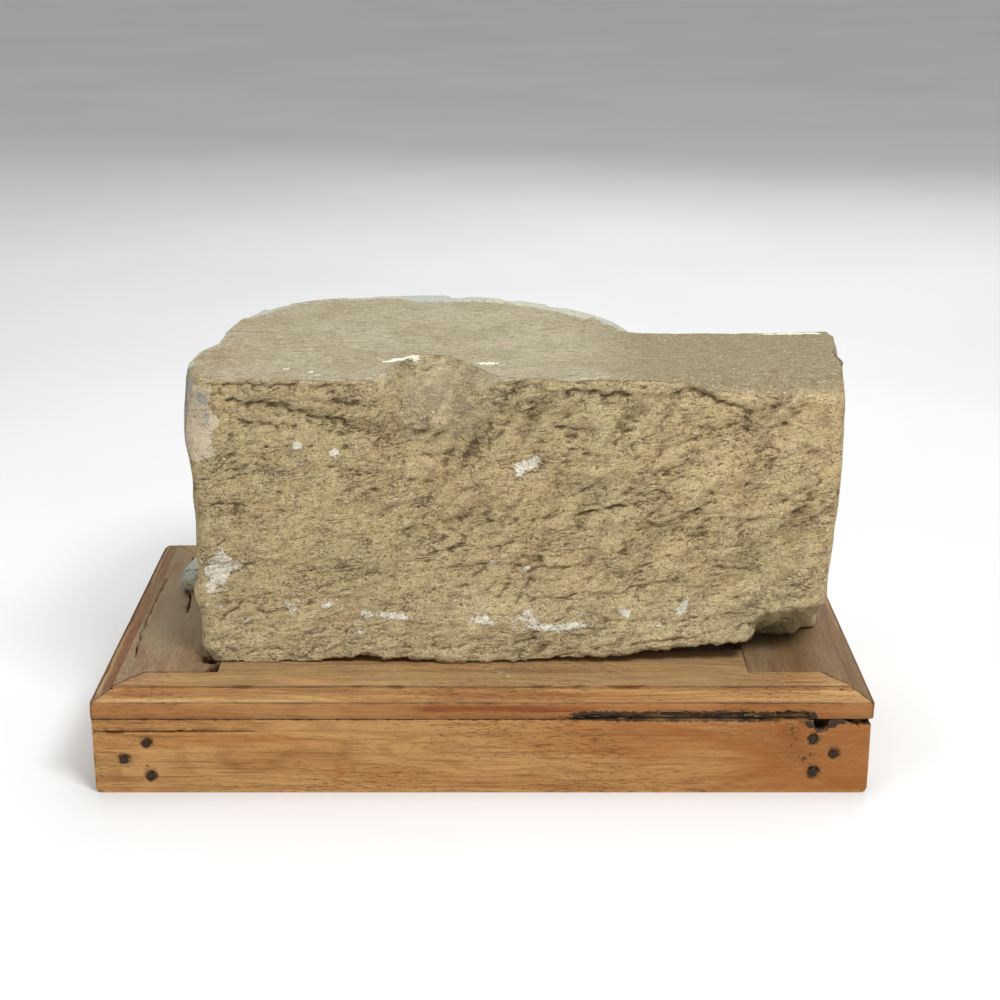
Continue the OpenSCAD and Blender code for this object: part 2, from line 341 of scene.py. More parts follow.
def bow_profile(rows):
    """Height, half-width and depth of the moulded bow, evenly spaced along its profile."""
    turn = np.radians(np.linspace(-90, 90, 13))
    bead = turn[2:-2]
    quarter = np.radians(np.linspace(0, 90, 12))
    swell = np.linspace(0, 1, 17)
    neck = np.array([[NECK_A], [NECK_B]])
    band = np.array([[BAND_A], [BAND_B]])
    roll = np.array([[ROLL_A], [BAND_B]]) - ROLL_R
    foot = roll - [[9], [7]]
    up, out = ROLL_R * power(np.sin(turn), 0.7), ROLL_R * power(np.cos(turn), 0.5)
    parts = [rings(ROLL_R + up, roll + out),
             rings(ROLL_H + 0.6, foot),
             rings(lerp(ROLL_H + 4, 60, 1 - np.cos(quarter)), lerp(foot, neck, np.sin(quarter))),
             rings([60.6, 63.4], neck + 4),
             rings(lerp(64, 116, swell), neck + 9 * np.sin(np.pi * swell)),
             rings(121 + 5 * np.sin(bead), neck + 2 + 5 * np.cos(bead)),
             rings(lerp(126, 158, np.sin(quarter)), lerp(neck, band - 3, 1 - np.cos(quarter))),
             rings([161, 161.8, 178, 195, CORBEL_H], band + [-3, 0, 0, 0, -3])]
    points = np.concatenate(parts)
    along = np.concatenate([[0], np.cumsum(np.linalg.norm(np.diff(points, axis=0), axis=1))])
    places = np.linspace(0, along[-1], rows)
    return [np.interp(places, along, points[:, i]) for i in range(3)]


def underside(x):
    """The foot is hollow in the middle and at the right."""
    hollow = (4.8 * ramp(x, -130, 40) - 2.9 * ramp(x, -60, 70)
              + 17 * np.clip((x - 25) / 165, 0, 1) ** 1.5)
    return hollow * (1 - ramp(x, 181, 24))


def break_edge(x):
    """Upper edge of the break at the lower right corner."""
    return BREAK_UP + 10.5 * (1 - (1 - np.clip((x - 181) / 44, 0, 1)) ** 2)


def break_back(x, h):
    """How far that break runs in at a height."""
    edge = break_edge(x)
    return ramp(x, 174, 14) * (3.5 * (1 - ease((h - edge + 3) / 3))
                                   + (BREAK_IN - 3.5) * np.clip((edge - h) / edge, 0, 1))


def left_x(y, h):
    return (-TAIL_LEFT + 8 * ramp(y, -25, 30) - 4 * bump(h - 155, 26) * bump(y + 75, 60)
            - 4.5 * bump(y + 48, 30) * ramp(h, 100, 60) - 4 * bump(h - 46, 9) * bump(y + 80, 40)
            + 6 * (1 - ease(h / 12)))


def right_x(y, h):
    return (TAIL_RIGHT - 1.2 + RIGHT_SKEW * (y + TAIL_REAR) / (TAIL_REAR + TAIL_FRONT)
            - RIGHT_BATTER * (1 - ramp(h, 40, 90)) - 3 * ease((y - TAIL_FRONT + 9) / 9)
            - 10 * (1 - ease(h / 34)) * (1 - ramp(y, -70, 50)))


def scoop(x):
    """The one place where the rear arris is broken back."""
    return ramp(x, -78, 38) * (1 - ramp(x, -30, 50))


def setback(x):
    """How far the rear arris is worn or broken back."""
    ragged = 2.5 * noise(x / 15, 0.5, 0.5, 33)
    return 4.5 + ragged + 56 * scoop(x) + 24 * ramp(x, 100, 60)


def wear_down(x):
    """How far the rear face's top is below the bed."""
    ragged = 2.0 * noise(x / 19, 0.5, 0.5, 34)
    return 3.5 + ragged + 30 * scoop(x) + 12 * ramp(x, 120, 60) + 4 * ramp(x, 180, 60)


def corner_back(d):
    """How far the rounded corner sets the rear back at a distance from the block's end."""
    return np.where(d >= CORNER_R, 0.0, CORNER_R - np.sqrt(np.maximum(
        0, CORNER_R ** 2 - (CORNER_R - np.clip(d, 0, CORNER_R)) ** 2)))


def corner_facet(x, h):
    """The flat break, thick with mortar, down the top of the rear left corner."""
    return 0.75 * np.maximum(0, -171 - x) * ramp(h, 128, 50)


def rise(foot, wear, back, hollow=0.0):
    """Rows up a rough face: height, and share of the top edge's setback.

    The worn top edge is rounded over, or a hollow break where hollow is 1.
    """
    row = np.linspace(0, 1, ROWS)[None, :]
    straight = CORBEL_H - wear - foot
    share = straight / (straight + 1.1 * np.hypot(wear, back))
    up = np.clip(row / share, 0, 1)
    over = np.clip((row - share) / (1 - share), 0, 1)
    height = lerp(1 - (1 - over) ** 1.5, 0.75 * over + 0.25 * over ** 4, hollow)
    return foot + straight * up + wear * height, lerp(over ** 1.4, over ** 1.3, hollow)


def bow_point(a, b, angle):
    """A point of the bow's outline in plan: a superellipse with two shoulders of its own."""
    c, s = np.cos(angle), np.sin(angle)
    p = 2 / np.where(c < 0, SHOULDER_LEFT, SHOULDER_RIGHT)
    return BOW_X + a * np.sign(c) * np.abs(c) ** p, BOW_Y + b * np.abs(s) ** p


def spread(count):
    """Evenly spaced columns from 0 up to, and without, 1."""
    return np.linspace(0, 1, count, endpoint=False)[:, None]


def block_grid():
    """Points (column, row) round the whole block, and which face each column is on."""
    height, half, depth = (v[None, :] for v in bow_profile(ROWS))
    first = np.arcsin(((TAIL_FRONT - BOW_Y) / depth) ** (SHOULDER_RIGHT / 2))
    last = np.pi - np.arcsin(((STOP_Y - BOW_Y) / depth) ** (SHOULDER_LEFT / 2))
    columns = []

    t = np.linspace(0, 1, REAR_COLUMNS)[:, None]
    t = 0.8 * t + 0.1 * (1 - np.cos(np.pi * t))
    x = lerp(-TAIL_LEFT, TAIL_RIGHT, t)
    h, over = rise(underside(x), wear_down(x), setback(x), scoop(x))
    low, high = left_x(-TAIL_REAR, h), right_x(-TAIL_REAR + CORNER_R + (setback(x) * over)[-1:], h)
    x = lerp(low, high, t)
    back = corner_back(np.minimum(x - low, high - x)) + break_back(x, h) + corner_facet(x, h)
    rear_y = -TAIL_REAR + back + setback(x) * over
    columns.append(("rear", x, rear_y, h))

    t = spread(RIGHT_COLUMNS)[1:]
    wear = lerp(wear_down(TAIL_RIGHT), 3, ease(t * 1.6))
    h, over = rise(0.0 * t, wear, lerp(setback(TAIL_RIGHT), 4, ease(t * 1.6)))
    y = lerp(rear_y[-1:], TAIL_FRONT, t)
    columns.append(("right", right_x(y, h) - 4 * over * ease(t * 3), y, h))

    t = spread(SHOULDER_COLUMNS)
    join = bow_point(half, depth, first)[0]
    start = right_x(TAIL_FRONT, 100.0)
    h, over = rise(underside(lerp(start, 100.0, t)), 3.0, 3.0)
    h = lerp(h, height, ramp(t, 0.6, 0.4))
    columns.append(("shoulder", lerp(right_x(TAIL_FRONT, h) - 3 * over * (1 - t), join, t),
                    TAIL_FRONT - 3 * over * np.minimum(1, 6 * t), h))

    t = np.linspace(0, 1, BOW_COLUMNS)[:, None]
    x, y = bow_point(half, depth, lerp(first, last, t))
    columns.append(("bow", x, y, height + 0 * t))

    t = spread(STEP_COLUMNS + 1)[1:] ** 1.3
    end = bow_point(half, depth, last)[0]
    h_left, over = rise(np.zeros((1, 1)), 3.0, 3.0)
    x_left = left_x(STOP_Y, h_left) + 3 * over
    x, h = lerp(end, x_left, t), lerp(height, h_left, t ** 2)
    roll_x = BOW_X - (ROLL_A - ROLL_R) * 0.99
    knob = np.sqrt(np.maximum(0, ROLL_R ** 2 - (x - roll_x) ** 2 - (h - ROLL_R) ** 2))
    columns.append(("step", x, STOP_Y - 0.8 * knob, h))

    t = spread(LEFT_COLUMNS)
    y = lerp(STOP_Y, rear_y[:1], t)
    columns.append(("left", left_x(y, h_left) + 3 * over, y, h_left + 0 * t))

    points, faces = [], []
    for name, x, y, h in columns:
        points.append(np.stack(np.broadcast_arrays(x, y, h + STAND_TOP), -1))
        faces += [name] * points[-1].shape[0]
    return np.concatenate(points), np.array(faces)


def cap_rings(edge, spine, count, reach, bend):
    """Rings from an edge in towards a spine line, in plan; heights stay the edge's."""
    a, b = (np.array(p) for p in spine)
    along = np.clip(((edge[:, :2] - a) @ (b - a)) / np.dot(b - a, b - a), 0, 1)
    target = a + along[:, None] * (b - a)
    rings = []
    for i in range(1, count + 1):
        ring = edge.copy()
        ring[:, :2] = lerp(edge[:, :2], target, reach * (i / count) ** bend)
        rings.append(ring)
    return np.stack(rings, 1)


def block_mesh():
    """The undisplaced block, its points' faces of origin, and the grid's shape."""
    grid, face_of_column = block_grid()
    count = len(grid)
    spine = ((-110.0, 15.0), (165.0, -38.0))
    top = cap_rings(grid[:, -1], spine, TOP_RINGS, 0.98, 1.1)
    foot = cap_rings(grid[:, 0], spine, FOOT_RINGS, 0.95, 1.0)
    inward = np.linspace(0, 1, FOOT_RINGS + 1)[1:]
    foot[:, :, 2] += 16 * ease((inward[None, :] - 0.3) / 0.5)
    sheet = np.concatenate([foot[:, ::-1], grid, top], 1)
    levels = sheet.shape[1]
    index = np.arange(count * levels).reshape(count, levels)
    after = np.roll(index, -1, axis=0)
    quads = np.stack([index[:, :-1], after[:, :-1], after[:, 1:], index[:, 1:]], -1).reshape(-1, 4)
    faces = quads.tolist() + [index[::-1, 0].tolist(), index[:, -1].tolist()]
    part = np.repeat(face_of_column[:, None], levels, axis=1)
    part[:, :FOOT_RINGS] = "foot"
    part[:, FOOT_RINGS + ROWS:] = "top"
    return sheet, faces, part


# ---- corbel: the stone's surface ----

BED_SLOPE = 0.13                 # the rock's beds rise a little to the right


def beds(p, thickness, reach, seed, edge=0.2):
    """How far the rock's thin beds stand out at points p: each varies along itself."""
    x, y, z = axes(p)
    warp = 9 * noise(x / 90, y / 90, z / 60, seed)
    warp += 2.2 * noise(x / 22, y / 22, z / 16, seed + 1)
    level = (z - BED_SLOPE * x + warp) / thickness
    bed = np.floor(level)
    here = noise(x / reach, y / reach, bed * 7.31 + 0.5, seed + 2)
    above = noise(x / reach, y / reach, (bed + 1) * 7.31 + 0.5, seed + 2)
    return lerp(here, above, ease((level - bed - 1 + edge) / edge))


def slanting_ridges(x, h, seed):
    """Ridges between the tool's strokes, rising to the right."""
    across, along = 0.80 * x - 0.60 * h, 0.60 * x + 0.80 * h
    across = across + 5 * noise(x / 40, h / 40, 0.5, seed)
    return noise(across / 15, along / 60, 1.5, seed + 1)


# Ledges of the rear face that overhang a dark hollow:
# (left x, left height, right x, right height, drop of the hollow, depth)
LEDGES = [
    (-174, 195.5, -116, 195, 11, 4.5), (-116, 194, -62, 195.5, 9, 2.5), (-168, 184, -122, 181, 9, 4.5),
    (-128, 178, -84, 169, 9, 4.5), (-160, 171, -118, 166, 8, 3.0), (-98, 184, -70, 178, 8, 3.0),
    (50, 191, 98, 188, 12, 4.5), (20, 196, 50, 191, 8, 2.0), (132, 193, 178, 176, 13, 5.0),
    (176, 178, 230, 181, 9, 1.8), (60, 106, 95, 113, 9, 4.5), (-12, 81, 24, 88, 7, 2.2),
    (-42, 101, -6, 107, 6, 2.0), (28, 101, 56, 109, 6, 2.0), (104, 132, 140, 146, 7, 2.0),
    (122, 152, 152, 166, 6, 1.8), (150, 62, 186, 70, 6, 1.5), (-152, 37, -126, 41, 8, 3.2),
    (-178, 30, -160, 44, 9, 3.0), (96, 15, 150, 22, 7, 2.2), (186, 35, 234, 42, 5, 3.8),
    (192, 26, 232, 31, 4, 3.4), (198, 17, 228, 20, 4, 3.0),
    (-70, 12, -20, 15, 6, 1.6), (196, 148, 230, 152, 6, 1.8), (-18, 138, 20, 146, 6, 1.8),
    (64, 148, 92, 158, 6, 1.6), (-60, 128, -30, 131, 6, 1.6), (186, 112, 226, 134, 7, 2.0)]

# Hollows left by the mason's point: (x, height, half-width, half-height, depth)
SCOOPS = [
    (-135, 172, 34, 13, 5), (-92, 158, 26, 10, 3), (-28, 160, 30, 34, 4), (38, 168, 20, 12, 4),
    (92, 178, 16, 16, 4), (176, 160, 40, 14, 4), (64, 120, 20, 12, 4), (-20, 95, 34, 16, 3),
    (130, 84, 36, 18, 3), (-160, 30, 18, 14, 4), (20, 52, 30, 12, 2), (210, 100, 16, 30, 2),
    (-163, 140, 6, 34, 3.0), (58, 160, 10, 26, 3.0)]

# Small deep pits: (x, height, radius)
PITS = [(-133, 121, 1.9), (-172, 113, 1.8), (-133, 163, 1.8), (-111, 166, 2.2), (-89, 151, 2.6),
        (-140, 152, 1.7), (-92, 158, 2.0), (64, 96, 1.8), (150, 120, 1.7), (196, 166, 1.9)]

# Broad ribs that stand a little proud: (x, height, half-width, half-height, height of the rib)
RIBS = [(76, 158, 8, 32, 2.6), (-150, 135, 20, 30, 1.5), (-179, 120, 7, 60, 1.6), (-60, 60, 40, 30, 1.2)]


def hewn_relief(p):
    """How far the rough rear stands in from its plane."""
    x, _, h = above_stand(p)
    depth = 0.0
    for cx, ch, rx, rh, d in SCOOPS:
        depth = depth + d * bump(x - cx, rx) * bump(h - ch, rh)
    depth = depth * (1 - 0.8 * ramp(h, 146, 36) * scoop(x))
    for cx, ch, rx, rh, d in RIBS:
        depth = depth - d * bump(x - cx, rx) * bump(h - ch, rh)
    wobble = 2.6 * noise(x / 9, h / 30, 4.5, 31) + 1.5 * noise(x / 3.5, h / 20, 2.5, 32)
    for x0, h0, x1, h1, drop, d in LEDGES:
        along = (x - x0) / (x1 - x0)
        under = lerp(h0, h1, np.clip(along, 0, 1)) + wobble - h
        ends = ramp(along, -0.04, 0.15) * ease((1.04 - along) / 0.15)
        depth = depth + 0.75 * d * ends * ease(under / 1.6) * (1 - ease(under / drop))
    for cx, ch, r in PITS:
        depth = depth + 2.6 * bump(np.hypot(x - cx, (h - ch) * 1.2), r)
    return depth


def calm(x, h):
    """1 where the dressing is rough, less where the rear is smoother."""
    return (1.1 - 0.35 * bump(x + 112, 55) * bump(h - 100, 48) - 0.35 * scoop(x) * ramp(h, 160, 15)
            - 0.3 * bump(x + 60, 70) * bump(h - 40, 26))


def rough_relief(p, face):
    """Displacement outwards, in mm, of the broken surfaces."""
    x, y, z = axes(p)
    warp = 4 * noise(x / 30, y / 30, z / 18, 5) + 1.5 * noise(x / 9, y / 9, z / 5, 6)
    u, v = x + y + 2 * warp, z - BED_SLOPE * x + warp
    out = 0.95 * facets(u, v, 26.0, 12.0, 13) + 0.50 * facets(u, v, 11.0, 6.0, 14)
    out += 0.50 * facets(u, v, 5.0, 3.0, 15)
    out += 1.0 * beds(p, 15.0, 34.0, 3) + 0.60 * beds(p, 6.0, 18.0, 7) + 0.52 * beds(p, 3.0, 9.0, 11)
    h = z - STAND_TOP
    ridges = 1 - 2.2 * np.abs(slanting_ridges(x, h, 21))
    stretch = 0.35 + 0.65 * ramp(x, -70, 60)
    swells = fractal(x / 60, y / 60, z / 45, 27, 2)
    ends = 1 - 0.65 * ramp(x, 212, 14) * ramp(h, 34, 16) - 0.4 * ease((-174 - x) / 10)
    return np.where(face == "rear", ends * (out * calm(x, h) + 2.0 * ridges * stretch + 1.8 * swells),
                    0.4 * out + 1.2 * swells)


def dressed_relief(p):
    """Displacement of the worn but once smooth surfaces: pits, dents and a few chips."""
    x, y, z = axes(p)
    out = 0.35 * fractal(x / 14, y / 14, z / 9, 41, 3)
    dents = noise(x / 26, y / 26, z / 20, 44)
    out -= 1.4 * ramp(dents, 0.42, 0.3)
    pits = noise(x / 5, y / 5, z / 5, 45)
    return out - 0.7 * ramp(pits, 0.55, 0.25)


def bed_relief(p):
    """Displacement of the top bed: nearly flat, with shallow flakes split off."""
    x, y, _ = axes(p)
    level = 2.4 * fractal(x / 95, y / 60, 0.5, 51, 3)
    flakes = np.floor(level) + ease((level - np.floor(level) - 0.7) / 0.3)
    streaks = noise(x / 30, y / 4, 0.5, 53) + 0.8 * noise(x / 9, y / 2.6, 0.5, 55)
    granular = noise(x / 6, y / 5, 3.5, 54) * lerp(0.18, 0.5, ramp(x, 90, 50))
    return -0.6 + 0.18 * flakes + 0.16 * streaks + granular - 0.5 * ramp(x, 100, 50)


def beside_seams(part, reach):
    """1 at the columns where two faces meet, falling to 0 over some columns."""
    names = part[:, FOOT_RINGS]
    seams = np.flatnonzero(names != np.roll(names, 1))
    columns = np.arange(len(names))[:, None]
    away = np.abs(columns - seams[None, :] + 0.5)
    away = np.minimum(away, len(names) - away).min(axis=1)
    return ease(1 - away / reach)[:, None]


def local_mean(values, reach):
    """Mean over a square of the grid, wrapping round the columns."""
    total = np.zeros_like(values)
    for axis in (0, 1):
        total = sum(np.roll(values, s, axis=axis) for s in range(-reach, reach + 1)) / (2 * reach + 1)
        values = total
    return total


# Patches of lime mortar on the rear: (x, height, half-width, half-height, slope, thickness)
MORTAR = [
    (-176, 66, 7, 12, 0.0, 1.0), (-168, 72, 8, 4.5, -0.3, 1.0), (-179, 58, 4, 7, 0.3, 1.0),
    (30, 139, 9, 4, 0.45, 1.0), (24, 135, 4, 5, 0.0, 0.9), (50, 27, 30, 3.6, 0.06, 0.85),
    (33, 32, 7, 6, -0.8, 0.8), (92, 38, 9, 4.0, -0.4, 0.75), (134, 41, 4.5, 5, 0.9, 0.8),
    (1, 31, 12, 5, 0.0, 0.75), (-62, 34, 30, 3.5, -0.1, 0.78), (-20, 45, 8, 4, 0.0, 0.7),
    (8, 72, 6, 3.5, 0.2, 0.8), (29, 68, 5, 3, 0.3, 0.7), (-104, 42, 8, 4, 0.3, 0.7),
    (-128, 40, 7, 7, -0.8, 0.7), (118, 28, 7, 4, 0.2, 0.7), (-82, 22, 8, 4, 0.0, 0.66),
    (-120, 152, 3, 3, 0.0, 0.9), (-96, 147, 4, 3, 0.0, 0.8)]
# The same on the top bed: (x, y, half-width, half-depth, slope, thickness)
BED_LIME = [
    (-56, -47, 11, 4, 0.3, 0.95), (-47, -42, 4, 4, 0.0, 1.0), (4, -58, 16, 9, -0.1, 0.62),
    (-128, -72, 3, 3, 0.0, 0.9), (-112, -80, 3, 3, 0.0, 0.85), (-150, -88, 6, 3, 0.0, 0.7),
    (212, 27, 20, 3.0, 0.0, 1.0), (-106, -88, 7, 3, 0.0, 0.7)]


# Chips out of the band's top edge: (x, y, reach, depth)
EDGE_CHIPS = [(-150, 108, 9, 9), (-92, 141, 8, 8), (-183, 20, 14, 4), (52, 112, 6, 4), (98, 42, 8, 5),
              (-20, 150, 7, 3), (20, 134, 5, 3), (-172, 86, 9, 4)]


def edge_chips(p):
    """How deep the chips go in."""
    x, y, h = above_stand(p)
    ragged = 1 + 0.5 * noise(x / 5, y / 5, h / 4, 47)
    out = 0.0
    for cx, cy, reach, depth in EDGE_CHIPS:
        out = out + depth * ragged * ease(1.4 - np.hypot(x - cx, y - cy) / reach) * ramp(h, 184, 12)
    return out


def patches(u, v, list_of_patches):
    """A field that is over 0.5 inside the patches."""
    field = np.zeros(u.shape)
    for cu, cv, ru, rv, slope, thickness in list_of_patches:
        du, dv = u - cu, v - cv - slope * (u - cu)
        field = np.maximum(field, thickness + 0.12 - 0.55 * np.hypot(du / ru, dv / rv))
    return np.clip(field, 0, 1)


def lime_field(p, part):
    """Lime mortar: in patches, as a haze low on the rear, and on the broken top left corner."""
    x, y, h = above_stand(p)
    rear = patches(x, h, MORTAR)
    haze = 0.46 * bump(h - 34, 15) * (0.6 + 0.6 * noise(x / 30, h / 8, 0.5, 61))
    top = patches(x, y, BED_LIME)
    edge_x = -170 + 6 * noise(h / 13, 0.5, 0.5, 62)
    edge_h = 130 + 10 * noise(x / 9, h / 20, 0.5, 63)
    facet = 0.85 * ease((edge_x - x) / 9) * ease((h - edge_h) / 20)
    rear = np.maximum.reduce([rear, haze, facet])
    return np.where(part == "rear", np.where(h > CORBEL_H - 7, top, rear),
                    np.where(part == "top", top, 0.0))


def paint_field(p, part):
    """Limewash: over the moulded front, down the left side and round the bed's edge."""
    x, y, h = above_stand(p)
    wander = 0.25 * fractal(x / 34, y / 34, h / 26, 71, 3)
    round_by = 2.2
    out_x = np.abs((x - BOW_X) / BAND_A) ** round_by
    out_y = (np.maximum(0, y - BOW_Y) / BAND_B) ** round_by
    from_edge = 1 - (out_x + out_y) ** (1 / round_by)
    width = lerp(9, 24, ramp(x, -80, 40)) * lerp(1, 0.5, ramp(x, 60, 30))
    margin = 0.5 + (width - from_edge * BAND_A) / 24 + 0.8 * wander
    margin = np.where(y > 34, margin, 0.0) - 0.3 * ease((-90 - x) / 20)
    left = 0.70 + 1.3 * wander - 0.5 * ease((70 - h) / 60) - 0.25 * ease((-y - 70) / 20)
    front = (0.74 + 1.2 * wander - 0.18 * ease((24 - h) / 20)
             - 0.4 * ease((-90 - x) / 20) * ramp(h, 182, 10))
    shoulder = 0.45 + 1.4 * wander
    corner = ease((-170 - x) / 8) * ramp(h, 150, 18) * (0.36 + 1.2 * wander)
    on_part = {"bow": front, "step": front, "left": left, "top": margin, "shoulder": shoulder, "rear": corner}
    field = np.select([part == name for name in on_part], list(on_part.values()), 0.0)
    return np.clip(field, 0, 1)


def is_rough(part):
    """Where the stone was only hewn or broken, never dressed."""
    return (part == "rear") | (part == "right") | (part == "foot")


def over_arris(p, part, normals):
    """1 where the bed's worn finish has come over the top edge, 0 on the rough dressing."""
    x, _, h = above_stand(p)
    over = ease((normals[..., 2] - 0.35) / 0.5) * ease((h - CORBEL_H + 22) / 18) * (1 - 0.8 * scoop(x))
    return np.where(part == "right", ease((h - CORBEL_H + 15) / 10), over)


def relief(p, part, over, broken, lime):
    """Displacement of the whole surface outwards, in mm."""
    rear = part == "rear"
    roughness = np.select([is_rough(part), part == "left", part == "shoulder"], [1.0, 0.45, 0.6], 0.12)
    out = rough_relief(p, part) * roughness + dressed_relief(p) * (1 - roughness)
    inward = np.where(rear, hewn_relief(p), 0.0)
    bed = bed_relief(p)
    out = out * (1 - 0.75 * over) + bed * over - inward * (1 - over)
    out = out + 1.7 * broken * beds(p, 4.5, 16.0, 37, edge=0.15)
    near_spine = ease((np.arange(p.shape[1]) - p.shape[1] + 5) / 4)
    out = np.where(part == "top", lerp(bed, -0.5, near_spine), out)
    out = out + 0.6 * ramp(lime, 0.5, 0.15) * rear
    out = 0.85 * out + 0.15 * local_mean(out, 1)
    out = lerp(out, local_mean(out, 4), beside_seams(part, 7))
    return out - np.where((part == "bow") | (part == "step"), edge_chips(p), 0.0)


def hollow_field(out):
    """Over 0.5 in the surface's hollows, under it on its crests: the mask for painted shade and painted
    highlight.
    """
    fine = out - local_mean(out, 2)
    broad = out - local_mean(out, 9)
    return np.clip(0.5 - 0.42 * fine - 0.05 * broad, 0, 1)


def painted_shade_field(p, part, broken):
    """Painted shade on the stone under the scoop and in the break."""
    x, y, h = above_stand(p)
    patchy = 0.75 + 0.7 * noise(x / 22, h / 15, 0.5, 35)
    damp = bump(x + 24, 44) * ramp(h, 140, 30) * ease((-24 - y) / 26) * patchy * (part == "rear")
    return np.maximum(damp, 0.6 * broken)


def smooth_field(p, part, over):
    """1 on the worn bed, 0 where the dressing is rough."""
    x, _, h = above_stand(p)
    in_scoop = 0.55 * scoop(x) * ramp(h, 158, 18) * (part == "rear")
    worn = np.where(part == "foot", 0.0, np.maximum(over, in_scoop))
    return np.select([part == "top", is_rough(part)], [1.0, worn], 0.6)


def make_corbel():
    sheet, faces, part = block_mesh()
    mesh = mesh_from("corbel_stone", sheet.reshape(-1, 3), faces)
    with editing(mesh) as bm:
        triangulate_large(bm)
    mesh.shade_smooth()
    normals = read_vectors(mesh, "normal").reshape(sheet.shape)
    normals[:, FOOT_RINGS + ROWS - 1:] = (0.0, 0.0, 1.0)

    x, _, h = above_stand(sheet)
    over = over_arris(sheet, part, normals)
    broken = (part == "rear") * ramp(x, 178, 8) * ease((break_edge(x) - h) / 4)
    lime = lime_field(sheet, part)
    out = relief(sheet, part, over, broken, lime)
    moved = sheet + normals * out[..., None]
    lowest = STAND_TOP + np.where(part == "foot", 0.05, 0.0)
    moved[..., 2] = np.clip(moved[..., 2], lowest, CORBEL_TOP)
    write_points(mesh, moved.reshape(-1, 3))

    write_field(mesh, "hollow", hollow_field(out))
    write_field(mesh, "lime", lime)
    write_field(mesh, "paint", paint_field(moved, part))
    # painted shade for the scoop and the break, kept as a field
    write_field(mesh, "damp", painted_shade_field(sheet, part, broken))
    write_field(mesh, "smooth", smooth_field(sheet, part, over))
    piece = new_object("corbel_stone", mesh)
    mesh.materials.append(stone_material())
    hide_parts("corbel")
    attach(piece, "root")


# ---- corbel: the stone's finish ----

BED_TILT = math.radians(7)          # turns a noise along the rock's beds
STROKE_TILT = math.radians(-37)     # and along the tool's steeper strokes


def stone_noises(g):
    """What several coats of the stone's colour share."""
    n = types.SimpleNamespace()
    n.across, n.high = g.axis(0), g.axis(2)
    n.hollow = g.field("hollow")
    n.rough = g.step(g.field("smooth"), 0.0, 1.0, 1.0, 0.0)
    n.ribs = g.noise((62, 30, 17), 4.0, 0.6, 0.4, STROKE_TILT)
    n.second = g.noise((21, 21, 40), shift=(3, 1, 2))
    n.mottle = g.noise((190, 190, 250), 5.0, 0.70, 0.5, BED_TILT)
    n.splinters = g.noise((190, 190, 900), 4.0, 0.62, 0.5, BED_TILT)
    n.streaks = g.noise((110, 400, 300), 5.0, 0.68, 0.7, shift=(4, 4, 1))
    n.grain = g.noise((1000, 1000, 1100), 2.0, 0.6)
    n.speck = g.noise((520, 520, 640), 3.0, 0.72, shift=(1, 7, 3))
    n.tint = g.noise((80, 80, 95), 4.0, 0.62, shift=(8, 3, 5))
    seams = g.noise((38, 38, 150), 5.0, 0.62, 0.9, BED_TILT, (5, 2, 1))
    n.crack = g.times(g.line(seams, 0.5, 0.014, 0.003), g.step(n.second, 0.46, 0.56))
    return n


def rough_colour(g, n):
    """The broken rock: tan with brown and olive patches, dark splits and a painted highlight along the
    splinters.
    """
    large = g.noise((9, 9, 13), 3.0)
    ribbed = g.step(n.across, -0.07, 0.0, 0.4, 1.0)
    split = g.step(n.second, 0.38, 0.60, 0.5, 1.0)
    return g.layers(
        g.mix(g.step(large, 0.40, 0.60), srgb(218, 190, 142), srgb(204, 183, 137)),
        (g.step(n.second, 0.52, 0.68, 0.0, 0.5), srgb(190, 158, 116)),
        (g.step(n.tint, 0.50, 0.64, 0.0, 0.45), srgb(212, 190, 130)),
        (g.step(n.tint, 0.47, 0.34, 0.0, 0.60), srgb(176, 146, 116)),
        (g.times(g.step(n.mottle, 0.53, 0.66), 0.45), srgb(244, 226, 176)),
        (g.times(g.step(n.mottle, 0.46, 0.34), 0.42), srgb(134, 114, 78)),
        (g.times(n.crack, 0.9), srgb(66, 46, 28)),
        (g.times(g.step(n.ribs, 0.50, 0.62, 0.0, 0.42), ribbed), srgb(240, 218, 166)),
        (g.times(g.step(n.ribs, 0.48, 0.36, 0.0, 0.34), ribbed), srgb(122, 98, 66)),
        (g.times(g.step(n.splinters, 0.43, 0.32), split), srgb(88, 70, 42)),
        # painted highlight: pale strokes along the splinters
        (g.times(g.step(n.splinters, 0.58, 0.70), g.times(split, 0.65)), srgb(246, 230, 184)))


def bed_colour(g, n):
    """The top bed: grey and streaked over the bow, browner and grainier at its right."""
    left_end = g.times(g.step(n.across, -0.130, -0.185), g.step(n.tint, 0.40, 0.60, 0.1, 0.6))
    pale = g.times(g.step(n.streaks, 0.54, 0.65), g.step(n.across, 0.060, 0.120, 0.60, 0.25))
    dirty = g.times(g.step(n.mottle, 0.46, 0.36), g.step(n.across, 0.04, 0.11, 0.45, 0.75))
    return g.layers(
        g.mix(g.step(n.second, 0.40, 0.62), srgb(172, 164, 138), srgb(162, 152, 124)),
        (g.step(n.across, 0.050, 0.120, 0.0, 0.85), srgb(140, 128, 98)),
        (left_end, srgb(158, 130, 98)),
        (g.step(n.streaks, 0.47, 0.36, 0.0, 0.7), srgb(118, 108, 84)),
        (pale, srgb(206, 196, 168)),
        (dirty, srgb(120, 108, 80)))


